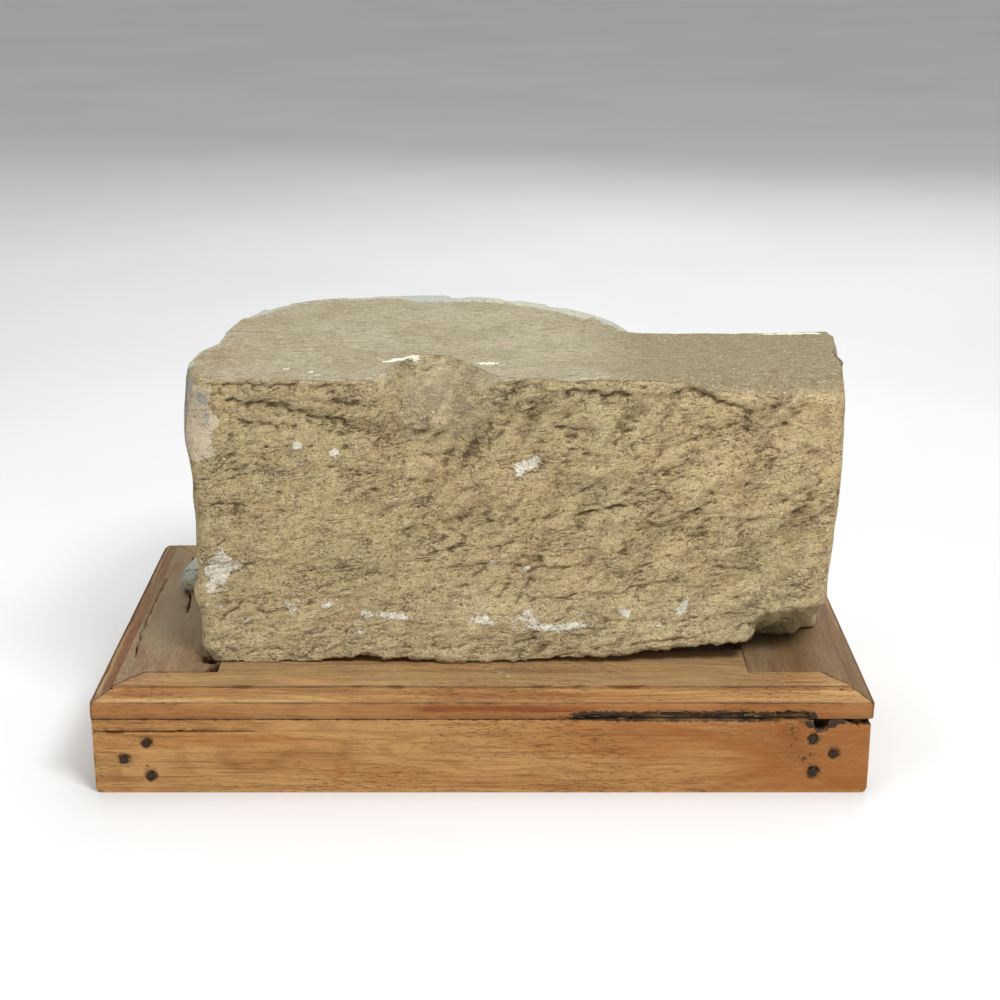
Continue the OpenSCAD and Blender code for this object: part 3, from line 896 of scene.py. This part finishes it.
def weathering_and_painted_light(g, n, colour):
    """Painted shade under the scoop and in the break, a paler foot, specks, painted shade in the hollows and
    a painted highlight on the crests.
    """
    # painted shade: the scoop and the break mixed towards a grey-brown
    damp = g.times(g.field("damp"), g.step(n.tint, 0.60, 0.40, 0.40, 0.80))
    strong = g.times(g.step(n.rough, 0.0, 1.0, 0.60, 0.88), g.step(n.tint, 0.62, 0.40, 0.6, 1.0))
    return g.layers(
        colour,
        (damp, srgb(126, 116, 90)),
        (g.step(n.high, 0.150, 0.095, 0.0, 0.30), srgb(238, 220, 176)),
        (g.times(g.step(n.speck, 0.47, 0.34), strong), srgb(96, 78, 50)),
        (g.times(g.step(n.speck, 0.58, 0.70), strong), srgb(250, 240, 206)),
        # painted shade: the surface's hollows darkened to brown
        (g.step(n.hollow, 0.68, 1.0, 0.0, 0.66), srgb(72, 53, 32)),
        # painted highlight: the surface's crests lightened
        (g.step(n.hollow, 0.42, 0.20, 0.0, 0.30), srgb(232, 214, 170)),
        (g.step(n.grain, 0.40, 0.60, 0.30, 0.0), srgb(92, 76, 50)))


def limed(g, n, colour):
    """Lime mortar with ragged edges, and where it lies; a few rusty spots."""
    ragged = g.plus(g.times(g.plus(n.speck, -0.5), 0.7), g.times(g.plus(n.tint, -0.5), 1.6))
    lies = g.step(g.plus(g.field("lime"), ragged), 0.50, 0.62)
    facet = g.times(g.step(n.across, -0.166, -0.174), g.step(n.high, 0.16, 0.19, 0.0, 0.7))
    chalky = g.layers(
        g.mix(g.step(n.speck, 0.36, 0.60), srgb(220, 206, 176), srgb(255, 250, 234)),
        (facet, srgb(236, 216, 184)))
    hairline = g.line(g.noise((55, 55, 70), 4.0, 0.6, 1.0, shift=(6, 6, 6)), 0.5, 0.010, 0.002)
    rust = g.step(g.noise((60, 60, 80), 3.0, shift=(9, 4, 2)), 0.69, 0.76)
    colour = g.layers(
        colour,
        (g.times(lies, g.step(facet, 0.0, 0.7, 0.95, 0.62)), chalky),
        (g.times(hairline, g.times(facet, 0.9)), srgb(104, 82, 58)),
        (g.times(rust, 0.45), srgb(184, 122, 70)))
    return colour, lies


def whitewashed(g, n, colour):
    """Old limewash, grey-blue and flaking, and where it lies."""
    flaking = g.noise((130, 130, 150), 5.0, 0.65, shift=(2, 2, 8))
    lies = g.step(g.ragged(g.field("paint"), flaking, 0.9), 0.50, 0.57)
    lies = g.times(lies, g.step(n.hollow, 0.05, 0.35, 0.35, 1.0))
    wash = g.layers(
        g.mix(g.step(n.second, 0.40, 0.62), srgb(160, 170, 166), srgb(184, 182, 160)),
        (g.step(n.speck, 0.45, 0.66, 0.0, 0.6), srgb(206, 210, 200)),
        (g.step(n.mottle, 0.46, 0.34, 0.0, 0.6), srgb(134, 136, 122)))
    return g.mix(g.times(lies, 0.85), colour, wash), lies


def stone_material():
    g = Graph("weathered_schist")
    n = stone_noises(g)
    colour = g.mix(n.rough, bed_colour(g, n), rough_colour(g, n))
    colour, lime = limed(g, n, weathering_and_painted_light(g, n, colour))
    colour, wash = whitewashed(g, n, colour)

    height = g.plus(g.times(n.mottle, 1.6), g.times(n.splinters, 1.2))
    height = g.plus(height, g.times(n.ribs, 2.2))
    height = g.times(g.plus(height, g.times(n.crack, -0.4)), g.step(n.rough, 0.0, 1.0, 0.05, 1.0))
    height = g.plus(height, g.times(n.streaks, g.step(n.rough, 0.0, 1.0, 0.6, 0.0)))
    height = g.plus(height, g.times(n.speck, g.step(n.rough, 0.0, 1.0, 0.30, 0.9)))
    height = g.plus(height, g.times(n.grain, 0.30))
    height = g.plus(height, g.times(g.plus(lime, wash), 0.25))
    return g.finish(colour, 0.9, g.bump(height, 0.0018, 1.0), specular=0.2)


# ---- stand: the wood's finish ----

KNOT_X, KNOT_Z = 201, 46            # the knot at the front board's right


def with_grain(along, across, lengthwise):
    """The scales of a noise that is stretched along the grain's axis."""
    scale = [across] * 3
    scale[along] = lengthwise
    return tuple(scale)


def wood_noises(g, along):
    """What several coats of the wood's colour share."""
    n = types.SimpleNamespace()
    n.height = g.axis(2)
    warp = g.noise(with_grain(along, 12, 2.2), 3.0)
    ring = g.plus(g.times(n.height, 130.0), g.times(g.axis(1 - along), 90.0))
    ring = g.plus(ring, g.plus(g.times(warp, 26.0), g.times(g.field("swerve"), 12.0)))
    n.fine_ring = g.math("SINE", g.times(ring, 5.0))
    n.ring = g.math("SINE", ring)
    n.fibre = g.noise(with_grain(along, 620, 26), 4.0, 0.62)
    n.streak = g.noise(with_grain(along, 130, 4.5), 4.0, 0.6, 0.3, shift=(3, 3, 3))
    n.ruddy = g.noise(with_grain(along, 34, 5), 4.0, 0.6, shift=(9, 9, 2))
    n.cloud = g.noise((10, 10, 16), 3.0, shift=(5, 1, 4))
    pores = g.noise(with_grain(along, 1300, 170), 3.0, shift=(1, 2, 3))
    n.pores = g.times(g.step(pores, 0.56, 0.64), g.step(n.cloud, 0.40, 0.60, 0.35, 0.9))
    dash = g.noise(with_grain(along, 760, 70), 3.0, 0.5, shift=(5, 1, 6))
    n.dash = g.times(g.step(dash, 0.60, 0.66), g.step(n.streak, 0.42, 0.56))
    return n


def grained(g, n, light, mid, dark):
    """The bare wood: growth rings, fibres, redder bands and dark pores."""
    return g.layers(
        g.mix(g.step(n.ring, -0.6, 1.0, 0.0, 0.6), light, mid),
        (g.step(n.fine_ring, 0.2, 1.0, 0.0, 0.28), dark),
        (g.step(n.streak, 0.50, 0.68, 0.0, 0.50), dark),
        (g.step(n.streak, 0.46, 0.32, 0.0, 0.35), scaled(light, 1.15)),
        (g.step(n.fibre, 0.50, 0.68, 0.0, 0.58), dark),
        (g.step(n.fibre, 0.44, 0.30, 0.0, 0.35), scaled(light, 1.25)),
        (g.step(n.ruddy, 0.52, 0.64, 0.0, 0.40), scaled(mid, 0.95, 0.70, 0.50)),
        (g.step(n.cloud, 0.45, 0.7, 0.0, 0.35), mid),
        (n.pores, scaled(dark, 0.6)),
        (g.times(n.dash, g.step(n.cloud, 0.44, 0.60, 0.1, 0.6)), scaled(dark, 0.6)))


def knotted(g, colour):
    """The rings of the board's knot, and the worms' galleries below it."""
    knot_at = g.place((1.0, 0.0, 1.0), shift=(-KNOT_X * MM, 0.0, (0.3 - KNOT_Z) * MM))
    away = g.add("VectorMath", {0: knot_at}, operation="LENGTH").outputs["Value"]
    bent = g.noise((150, 150, 150), 3.0, 0.6, shift=(3, 6, 2))
    rings = g.step(g.math("SINE", g.times(g.ragged(away, bent, 0.010), 1900.0)), -0.1, 0.8)
    galleries = g.noise((420, 420, 240), 4.0, 0.62, shift=(7, 7, 7))
    eaten = g.step(g.ragged(g.field("worm"), bent, 1.6), 0.25, 0.75, 0.0, 0.85)
    return g.layers(
        colour,
        (g.times(rings, g.step(g.field("knot"), 0.30, 0.85, 0.0, 0.42)), srgb(98, 54, 26)),
        (g.times(g.field("worm"), 0.35), srgb(104, 64, 36)),
        (g.times(g.step(galleries, 0.55, 0.62), eaten), srgb(58, 36, 22)))


def moulded(g, n, along, colour):
    """The frame's darker edge and its lines; dust and spattered lime on its flat top."""
    edge = g.step(g.ragged(n.height, n.fibre, 0.0015), BEVEL_LOW * MM, (BEVEL_LOW - 0.8) * MM)
    worn_line = g.line(n.height, (BEVEL_LOW + 0.9) * MM, 0.0008, 0.0002, 0.0, 0.22)
    rusty = g.times(g.step(n.streak, 0.46, 0.58), g.step(n.cloud, 0.46, 0.58))
    arris = g.line(n.height, (STAND_TOP - 0.8) * MM, 0.0005, 0.0002)
    seam = g.line(n.height, BEVEL_LOW * MM, 0.0006, 0.0002)
    flat = g.step(n.height, (STAND_TOP - 1.2) * MM, (STAND_TOP - 0.2) * MM)
    dust = g.noise(with_grain(along, 60, 18), 5.0, 0.65, shift=(2, 8, 1))
    dust = g.times(g.step(dust, 0.34, 0.60, 0.35, 0.95), flat)
    spatter = g.noise(with_grain(along, 330, 150), 4.0, 0.6, shift=(4, 4, 4))
    lime = g.step(g.ragged(g.field("chalk"), spatter, 2.2), 0.60, 0.95)
    return g.layers(
        colour,
        (g.times(worn_line, g.step(n.cloud, 0.45, 0.55)), srgb(222, 184, 124)),
        (g.times(edge, g.step(n.cloud, 0.35, 0.60, 0.55, 0.85)), srgb(146, 92, 44)),
        (g.times(g.step(edge, 0.0, 1.0, 0.35, 0.8), rusty), srgb(118, 58, 26)),
        (g.times(arris, g.step(n.streak, 0.42, 0.56, 0.3, 0.85)), srgb(88, 58, 34)),
        (g.times(seam, g.step(n.streak, 0.40, 0.56, 0.35, 0.85)), srgb(80, 50, 28)),
        (g.times(dust, g.field("dust")), srgb(138, 122, 94)),
        (g.times(lime, 0.5), srgb(202, 190, 164)))


def wood_material(name, along, light, mid, dark, frame_wood):
    """Old wood with its grain along one axis: 0 for X, 1 for Y."""
    g = Graph(name)
    n = wood_noises(g, along)
    colour = grained(g, n, light, mid, dark)
    if frame_wood and along == 1:
        # painted shade: the right rail is darker than the left under the same light
        colour = g.mix(g.step(g.axis(0), 0.18, 0.20, 0.0, 0.35), colour, dark)
    colour = g.mix(g.field("warmth"), colour, scaled(mid, 0.80, 0.58, 0.42))
    colour = moulded(g, n, along, colour) if frame_wood else knotted(g, colour)
    burnt = g.noise((260, 260, 200), 4.0, 0.65, shift=(1, 5, 9))
    # soot, iron stains and rot, together with painted shade at the frame's joint and in its broken corner
    sooty_and_shaded = g.step(g.ragged(g.field("soot"), burnt, 1.1), 0.42, 0.62)
    colour = g.layers(
        colour,
        (g.times(sooty_and_shaded, 0.92), srgb(40, 31, 24)),
        (g.step(g.field("worn"), 0.25, 0.9, 0.0, 0.4), light))
    height = g.plus(g.times(n.fibre, 0.9), g.times(n.streak, 0.8))
    height = g.plus(height, g.times(n.pores, -0.35))
    return g.finish(colour, 0.66, g.bump(height, 0.0006, 0.9), specular=0.25)


# ---- stand: its fields ----

NAILS = [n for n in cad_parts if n.startswith("nail_")]
NAIL_SPOTS = [np.mean(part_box(n), axis=0) / MM for n in NAILS]

# Small dark spots on the frame: (x, y, radius)
RAIL_SPOTS = [(-247, -134, 3.6), (236, -137, 2.4), (-235, -16, 2.2), (-240, -107, 2.0),
              (236, -80, 2.4), (-49, -123, 1.8), (-218, 4, 3.0)]
# Lime dust that fell from the stone: (x, y, radius)
RAIL_CHALK = [(5, -104, 9), (16, -118, 8), (34, -109, 9), (-60, -108, 7), (90, -112, 7)]


def front_only(field):
    """The field on the front board, and nothing behind it."""
    return lambda x, y, z: (y < BOARD_BACK) * field(x, y, z)


def near_nails(x, y, z):
    """Dark iron stain in the wood round each nail."""
    stain = np.zeros_like(x)
    for cx, cy, cz in NAIL_SPOTS:
        outer_face = np.sign(cy) * y > 120
        stain = np.maximum(stain, bump(np.hypot((x - cx) * 0.8, z - cz), 5.0) * outer_face)
    return stain


@front_only
def scorched(x, y, z):
    """The scorched or rotten band under the frame at the right, and two dark knots."""
    band = 0.8 * ramp(x, 55, 40) * ease((z - BOARD_TOP + 3.5) / 3)
    corner = ramp(x, 206, 6) * ease((z - BOARD_TOP + 5 + 5 * bump(x - 221, 8)) / 2)
    right_knot = 0.6 * bump(np.hypot(x - KNOT_X, z - KNOT_Z), 2.4)
    left_knot = 0.7 * bump(np.hypot(x + 219, z - 20), 2.2)
    return np.maximum.reduce([band, corner, right_knot + left_knot])


# Iron stains round the nails, the scorched band, and a dark seam under the frame that is partly painted
# shade.
def board_soot_and_shade(x, y, z):
    # the joint's own darkness, with painted shade under the frame's edge
    seam = 0.8 * ease((z - BOARD_TOP + 1.6) / 1.2)
    return np.maximum.reduce([0.7 * near_nails(x, y, z), seam, scorched(x, y, z)])


@front_only
def board_knot(x, y, z):
    return bump(np.hypot(x - KNOT_X, z - KNOT_Z), 10)


@front_only
def board_worm(x, y, z):
    """Where worms ate along the surface, below the knot."""
    below = bump((x - KNOT_X - 4) / 1.5, 10) * bump(z - 29, 9)
    return below + 0.6 * bump(np.hypot(x - KNOT_X, z - KNOT_Z), 7)


@front_only
def board_swerve(x, y, z):
    """Bends the grain: nested arches that close towards the knot."""
    arch = ((z - 26) / 17) ** 2 + (x - 195) / 45
    knot = bump(np.hypot((x - KNOT_X) / 1.3, z - KNOT_Z), 9)
    return 0.5 * arch * ramp(x, 60, 70) * ease((262 - x) / 40) + 1.1 * knot


@front_only
def board_warmth(x, y, z):
    """Redder wood round the knot and along the arches of the grain."""
    ring = bump(np.hypot((x - KNOT_X) / 1.15, z - KNOT_Z) - 6.5, 1.6)
    upper = bump(z - lerp(52, 28, (x - 100) / 90), 4) * ramp(x, 70, 30) * ease((200 - x) / 20)
    lower = bump(z - lerp(0, 21, (x - 144) / 55), 1.7) * ramp(x, 140, 10) * ease((202 - x) / 10)
    end = bump(z - 8, 1.6) * ramp(x, 222, 8)
    broad = 0.12 + 0.2 * ramp(x, 20, 120) + 0.42 * ramp(x, 140, 60)
    streak = 0.5 * bump(x + 94, 2.5) * bump(z - 16, 8)
    return np.minimum(1, broad + streak + 0.5 * ring + 0.35 * upper + 0.55 * lower + 0.5 * end)


def rail_soot_and_shade(x, y, z):
    """Small dark spots on the frame, a dark joint with painted shade along its under edge, its rotten places,
    and painted shade inside its broken corner.
    """
    # the joint's own darkness, with painted shade along the rail's under edge
    under = 0.45 * ease((STAND_TOP - 15.5 - z) / 1.5)
    rot = ramp(x, 40, 30) * (1 - ramp(x, 216, 2)) * ease((STAND_TOP - 11.5 - z) / 1.2)
    # painted shade: the inside of the broken-out corner darkened nearly to black
    broken = ease((STAND_TOP - 0.4 - z) / 1.0) * bump(np.hypot(x + 181, y + 104), 16) * (x > -187.5)
    spots = sum(bump(np.hypot(x - cx, (y - cy) * 1.4), r) for cx, cy, r in RAIL_SPOTS)
    at_front = y < -140
    return np.maximum.reduce([under, 0.9 * rot * at_front, 2.5 * broken, spots])


def rail_dust(x, y, z):
    """Dust lies thickest behind and beside the stone."""
    patchy = 0.2 * noise(x / 50, y / 50, 0.5, 88)
    return 0.45 + 0.3 * ramp(y, -110, 60) + patchy - 0.35 * ramp(x, 190, 20)


def rail_chalk(x, y, z):
    return sum(0.75 * bump(np.hypot(x - cx, y - cy), r) for cx, cy, r in RAIL_CHALK)


RAIL_FIELDS = {"soot": rail_soot_and_shade, "dust": rail_dust, "chalk": rail_chalk}
BOARD_FIELDS = {"soot": board_soot_and_shade, "swerve": board_swerve, "warmth": board_warmth,
                "knot": board_knot, "worm": board_worm}


# ---- stand: shapes ----

def make_whole(bm):
    """Joins a CAD mesh's triangles up into whole flat faces."""
    bmesh.ops.remove_doubles(bm, verts=bm.verts[:], dist=1e-6)
    bmesh.ops.dissolve_limit(bm, angle_limit=math.radians(0.5), verts=bm.verts[:], edges=bm.edges[:])


def soften_edges(bm, width):
    """Rounds the long sharp edges."""
    shortest = 4 * MM
    edges = [e for e in bm.edges if e.calc_length() > shortest and len(e.link_faces) == 2
             and e.calc_face_angle(0.0) > math.radians(8)]
    bmesh.ops.bevel(bm, geom=edges, offset=width, offset_type="OFFSET", segments=3, profile=0.6,
                    affect="EDGES", clamp_overlap=True)


def cut_into_cells(bm, cell):
    """Cuts the mesh by planes along all three axes, so that it can be displaced."""
    low = np.min([v.co[:] for v in bm.verts], axis=0)
    high = np.max([v.co[:] for v in bm.verts], axis=0)
    for axis in range(3):
        step = Vector((0, 0, 0))
        step[axis] = 1.0
        for place in np.arange(low[axis] + cell[axis], high[axis] - cell[axis] / 2, cell[axis]):
            everything = bm.verts[:] + bm.edges[:] + bm.faces[:]
            bmesh.ops.bisect_plane(bm, geom=everything, plane_co=step * place, plane_no=step, dist=1e-6)


def subtract(piece, cutters):
    """Cuts the cutters out of a piece, then drops them."""
    for cutter in cutters:
        modifier = piece.modifiers.new("cut", "BOOLEAN")
        modifier.operation = "DIFFERENCE"
        modifier.solver = "EXACT"
        modifier.object = cutter
    cut_piece = piece.evaluated_get(bpy.context.evaluated_depsgraph_get())
    shape = bpy.data.meshes.new_from_object(cut_piece)
    piece.modifiers.clear()
    piece.data = shape
    for cutter in cutters:
        bpy.data.objects.remove(cutter)


def prism(outline, axis, low, high):
    """A closed prism: an outline in the two other axes, swept along one axis from low to high."""
    count = len(outline)
    points = []
    for level in (low, high):
        for u, v in outline:
            point = [u, v]
            point.insert(axis, level)
            points.append(point)
    faces = [list(range(count))[::-1], list(range(count, 2 * count))]
    faces += [[i, (i + 1) % count, count + (i + 1) % count, count + i] for i in range(count)]
    mesh = mesh_from("cutter", points, faces)
    with editing(mesh) as bm:
        bmesh.ops.recalc_face_normals(bm, faces=bm.faces[:])
    return new_object("cutter", mesh)


def split_outline(start, end, width, wander, seed):
    """Outline of a long thin split that opens and closes between two points."""
    steps = 26
    rng = np.random.RandomState(seed)
    start, end = np.array(start, float), np.array(end, float)
    along = (end - start) / np.linalg.norm(end - start)
    across = np.array([-along[1], along[0]])
    t = np.linspace(0, 1, steps)
    drift = np.cumsum(rng.normal(size=steps)) * wander / 4
    drift -= lerp(drift[0], drift[-1], t)
    half = 0.5 * width * np.sqrt(np.sin(np.pi * np.clip(t, 0.01, 0.99))) * rng.uniform(0.5, 1.2, steps)
    middle = start + t[:, None] * (end - start) + drift[:, None] * across
    aside = half[:, None] * across
    return np.concatenate([middle + aside, (middle - aside)[::-1]]).tolist()


def ragged_outline(centre, size, seed, points):
    rng = np.random.RandomState(seed)
    angle = np.linspace(0, 2 * np.pi, points, endpoint=False)
    reach = rng.uniform(0.65, 1.1, points)
    return [[centre[0] + size[0] * r * np.cos(a), centre[1] + size[1] * r * np.sin(a)]
            for a, r in zip(angle, reach)]


# Worn corners of the frame in plan: (side in X, side in Y, radius)
FRAME_CORNERS = [(-1, 1, 8.0), (1, 1, 5.0), (-1, -1, 2.0), (1, -1, 4.0)]


def round_corners(points):
    """Wears the frame's corners round, in plan."""
    half = np.abs(np.array(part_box("top_rail_left")[0])) / MM
    for side_x, side_y, radius in FRAME_CORNERS:
        centre = np.array([side_x * (half[0] - radius), side_y * (half[1] - radius)])
        off = points[:, :2] - centre
        outside = (off[:, 0] * side_x > 0) & (off[:, 1] * side_y > 0)
        reach = np.linalg.norm(off, axis=1)
        pull = np.where(outside & (reach > radius), radius / np.maximum(reach, 1e-6), 1.0)
        points[:, :2] = centre + off * pull[:, None]
    return points


def age_wood(mesh, seed, wear, fields):
    """Wears the edges and the faces a little, and writes the finish's fields."""
    points = round_corners(read_vectors(mesh, "co") / MM)
    normals = read_vectors(mesh, "normal")
    x, y, z = axes(points)
    edge = ease((0.97 - np.abs(normals).max(axis=1)) / 0.12)
    dents = fractal(x / 11, y / 11, z / 9, seed, 3)
    chips = ease((noise(x / 16, y / 16, z / 12, seed + 7) - 0.35) / 0.3)
    sunk = 0.12 * (1 + fractal(x / 60, y / 60, z / 40, seed + 3, 2))
    out = -edge * wear * (0.35 + 0.35 * dents + 1.6 * chips) - sunk
    low, high = points.min(axis=0), points.max(axis=0)
    write_points(mesh, np.clip(points + normals * out[:, None], low, high))
    write_field(mesh, "worn", edge * (0.6 + 0.5 * dents))
    for name, field in fields.items():
        write_field(mesh, name, np.clip(field(x, y, z), 0, 1))


def make_wood(node, material, cell, edge_width, seed, wear, fields, cutters):
    """A CAD piece again, cut into cells that can be displaced."""
    name = node + "_wood"
    piece = new_object(name, bpy.data.meshes.new(name))
    with editing(piece.data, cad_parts[node].data) as bm:
        make_whole(bm)
        soften_edges(bm, edge_width * MM)
    if cutters:
        subtract(piece, cutters)
    mesh = piece.data
    with editing(mesh) as bm:
        cut_into_cells(bm, [c * MM for c in cell])
        triangulate_large(bm)
    mesh.materials.clear()
    mesh.materials.append(material)
    age_wood(mesh, seed, wear, fields)
    mesh.shade_smooth()
    mesh.set_sharp_from_angle(angle=math.radians(40))
    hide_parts(node)
    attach(piece, "root")


def from_front(outline, depth, face=BOARD_FACE):
    """A cutter that goes into the stand from the front."""
    return prism(outline, 1, face - 2, face + depth)


def from_top(outline, depth):
    """A cutter that goes into the frame from above."""
    return prism(outline, 2, STAND_TOP - depth, STAND_TOP + 3)


def make_rails():
    warm = srgb(184, 144, 92), srgb(162, 118, 70), srgb(116, 80, 48)
    dull = srgb(148, 118, 82), srgb(128, 98, 66), srgb(92, 68, 44)
    along_x = wood_material("rail_along_x", 0, *warm, True)
    along_y = wood_material("rail_along_y", 1, *dull, True)
    cell_x, cell_y = (3.2, 5.5, 4.0), (5.5, 3.2, 4.0)
    edge_width = 0.7
    face, low = (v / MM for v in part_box("top_rail_front")[0][1:])
    rotten = [
        from_front(ragged_outline((132, low), (84, 4.8), 21, 90), 3, face),
        from_front(ragged_outline((200, low), (17, 7.0), 22, 26), 4, face)]
    split = [
        from_top(split_outline((-227, 108), (-214, -8), 1.6, 3.0, 15), 9),
        from_top(ragged_outline((-183, -92), (9, 9), 25, 16), 19),
        from_top(split_outline((-239, 60), (-236, -90), 0.7, 2.0, 16), 4)]
    for node, material, cell, seed, wear, cutters in (
            ("top_rail_front", along_x, cell_x, 101, 0.9, rotten),
            ("top_rail_back", along_x, cell_x, 111, 0.9, ()),
            ("top_rail_left", along_y, cell_y, 121, 1.1, split),
            ("top_rail_right", along_y, cell_y, 131, 0.9, ())):
        make_wood(node, material, cell, edge_width, seed, wear, RAIL_FIELDS, cutters)


# Holes in the front board's top edge: (x, half-width, depth down, depth in, seed, points)
BOARD_HOLES = [(221, 7.5, 8.5, 9, 7, 14), (247, 11, 5.0, 7, 8, 24),
               (150, 64, 0.8, 4, 9, 40), (198, 20, 2.2, 5, 10, 24)]


def make_boards():
    colours = srgb(182, 140, 86), srgb(162, 114, 62), srgb(116, 74, 38)
    along_x = wood_material("board_along_x", 0, *colours, False)
    along_y = wood_material("board_along_y", 1, *colours, False)
    edge_width = 0.9
    long_split = (-260, BOARD_TOP - 9), (-148, BOARD_TOP - 9)
    wide_split = (-214, BOARD_TOP - 9.2), (-176, BOARD_TOP - 8.8)
    cuts = [from_front(split_outline(*long_split, 0.8, 0.4, 6), 9),
            from_front(split_outline(*wide_split, 1.7, 0.3, 12), 7)]
    for x, wide, down, depth, seed, points in BOARD_HOLES:
        cuts.append(from_front(ragged_outline((x, BOARD_TOP), (wide, down), seed, points), depth))
    for node, material, cell, seed, wear, cutters in (
            ("side_board_front", along_x, (3.2, 6.0, 3.2), 141, 1.2, cuts),
            ("side_board_back", along_x, (3.6, 6.0, 3.6), 151, 1.2, ()),
            ("side_board_left", along_y, (6.0, 3.6, 3.6), 161, 1.0, ()),
            ("side_board_right", along_y, (6.0, 3.6, 3.6), 171, 1.0, ())):
        make_wood(node, material, cell, edge_width, seed, wear, BOARD_FIELDS, cutters)


# ---- nails ----

def nail_material():
    g = Graph("old_iron")
    rust = g.noise((700, 700, 700), 4.0, 0.65)
    colour = g.mix(g.step(rust, 0.38, 0.66), srgb(34, 32, 29), srgb(76, 58, 44))
    return g.finish(colour, 0.85, g.bump(rust, 0.0006, 0.8), specular=0.15)


def hammered(points, number):
    """A nail's points with its head out of round and dented."""
    centre = (points.min(axis=0) + points.max(axis=0)) / 2
    outward = np.abs(points[:, 1])
    outer = outward.max()
    dx, dz = points[:, 0] - centre[0], points[:, 2] - centre[2]
    angle = np.arctan2(dz, dx)
    shrink = 0.80 + 0.24 * noise(np.cos(angle) * 1.5, np.sin(angle) * 1.5, number * 3.7, 90)
    shrink = np.clip(shrink - 0.06 * np.abs(np.sin(angle)), 0.6, 0.99)
    factor = np.where(outward > outer - 1.5, shrink, 1.0)
    points[:, 0], points[:, 2] = centre[0] + dx * factor, centre[2] + dz * factor
    dent = 0.35 * (1 + noise(points[:, 0] / 2.2, points[:, 2] / 2.2, number * 1.3, 92))
    points[:, 1] -= np.sign(centre[1]) * np.where(outward > outer - 0.8, dent, 0.0)
    return points


def make_nails():
    iron = nail_material()
    for number, node in enumerate(NAILS):
        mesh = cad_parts[node].data.copy()
        mesh.name = node + "_iron"
        with editing(mesh) as bm:
            bmesh.ops.remove_doubles(bm, verts=bm.verts[:], dist=1e-6)
            bmesh.ops.triangulate(bm, faces=bm.faces[:])
            bmesh.ops.subdivide_edges(bm, edges=bm.edges[:], cuts=1, use_grid_fill=True)
        write_points(mesh, hammered(read_vectors(mesh, "co") / MM, number))
        mesh.materials.clear()
        mesh.materials.append(iron)
        mesh.shade_smooth()
        mesh.set_sharp_from_angle(angle=math.radians(50))
        piece = new_object(node + "_iron", mesh)
        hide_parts(node)
        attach(piece, "root")


# ---- studio ----

FLOOR_HALF = 9000
MIDDLE = (0.0, 0.0, 0.13)            # metres, what the lights aim at


def area_light(name, place, size, watts):
    data = bpy.data.lights.new(name, "AREA")
    data.shape = "RECTANGLE"
    data.size, data.size_y = size
    data.energy = watts
    lamp = new_object(name, data)
    lamp.location = place
    lamp.rotation_euler = (Vector(MIDDLE) - Vector(place)).to_track_quat("-Z", "Y").to_euler()


def make_floor():
    corners = [(x * FLOOR_HALF, y * FLOOR_HALF, 0) for x, y in ((-1, -1), (1, -1), (1, 1), (-1, 1))]
    floor = mesh_from("studio_floor", corners, [(0, 1, 2, 3)])
    floor.shade_smooth()
    g = Graph("pale_floor")
    tone = g.step(g.noise((1.5, 1.5, 1.5), 2.0), 0.3, 0.7)
    colour = g.mix(tone, srgb(222, 222, 221), srgb(228, 228, 227))
    floor.materials.append(g.finish(colour, 0.85, specular=0.1))
    new_object("studio_floor", floor)


def make_lights():
    world = bpy.data.worlds.new("studio_air")
    world.use_nodes = True
    air = world.node_tree.nodes["Background"]
    air.inputs["Color"].default_value = (0.80, 0.81, 0.83, 1.0)
    air.inputs["Strength"].default_value = 0.55
    bpy.context.scene.world = world
    area_light("key", (0.75, -1.25, 1.75), (0.7, 0.5), 34)
    area_light("fill", (-1.6, -1.3, 0.9), (1.2, 1.0), 9)
    area_light("overhead", (0.0, 0.4, 2.0), (1.4, 1.2), 16)
    area_light("behind", (0.5, 2.0, 1.3), (1.6, 1.0), 12)


def make_camera():
    data = bpy.data.cameras.new("camera")
    data.lens = 68.4
    data.sensor_width = 36.0
    camera = new_object("camera", data)
    camera.location = (0.0115, -1.277, 0.580)
    camera.rotation_euler = (math.radians(71.5), 0.0, 0.0)
    bpy.context.scene.camera = camera
    bpy.context.scene.view_settings.view_transform = "Standard"


make_camera()
make_floor()
make_lights()
make_corbel()
make_rails()
make_boards()
make_nails()
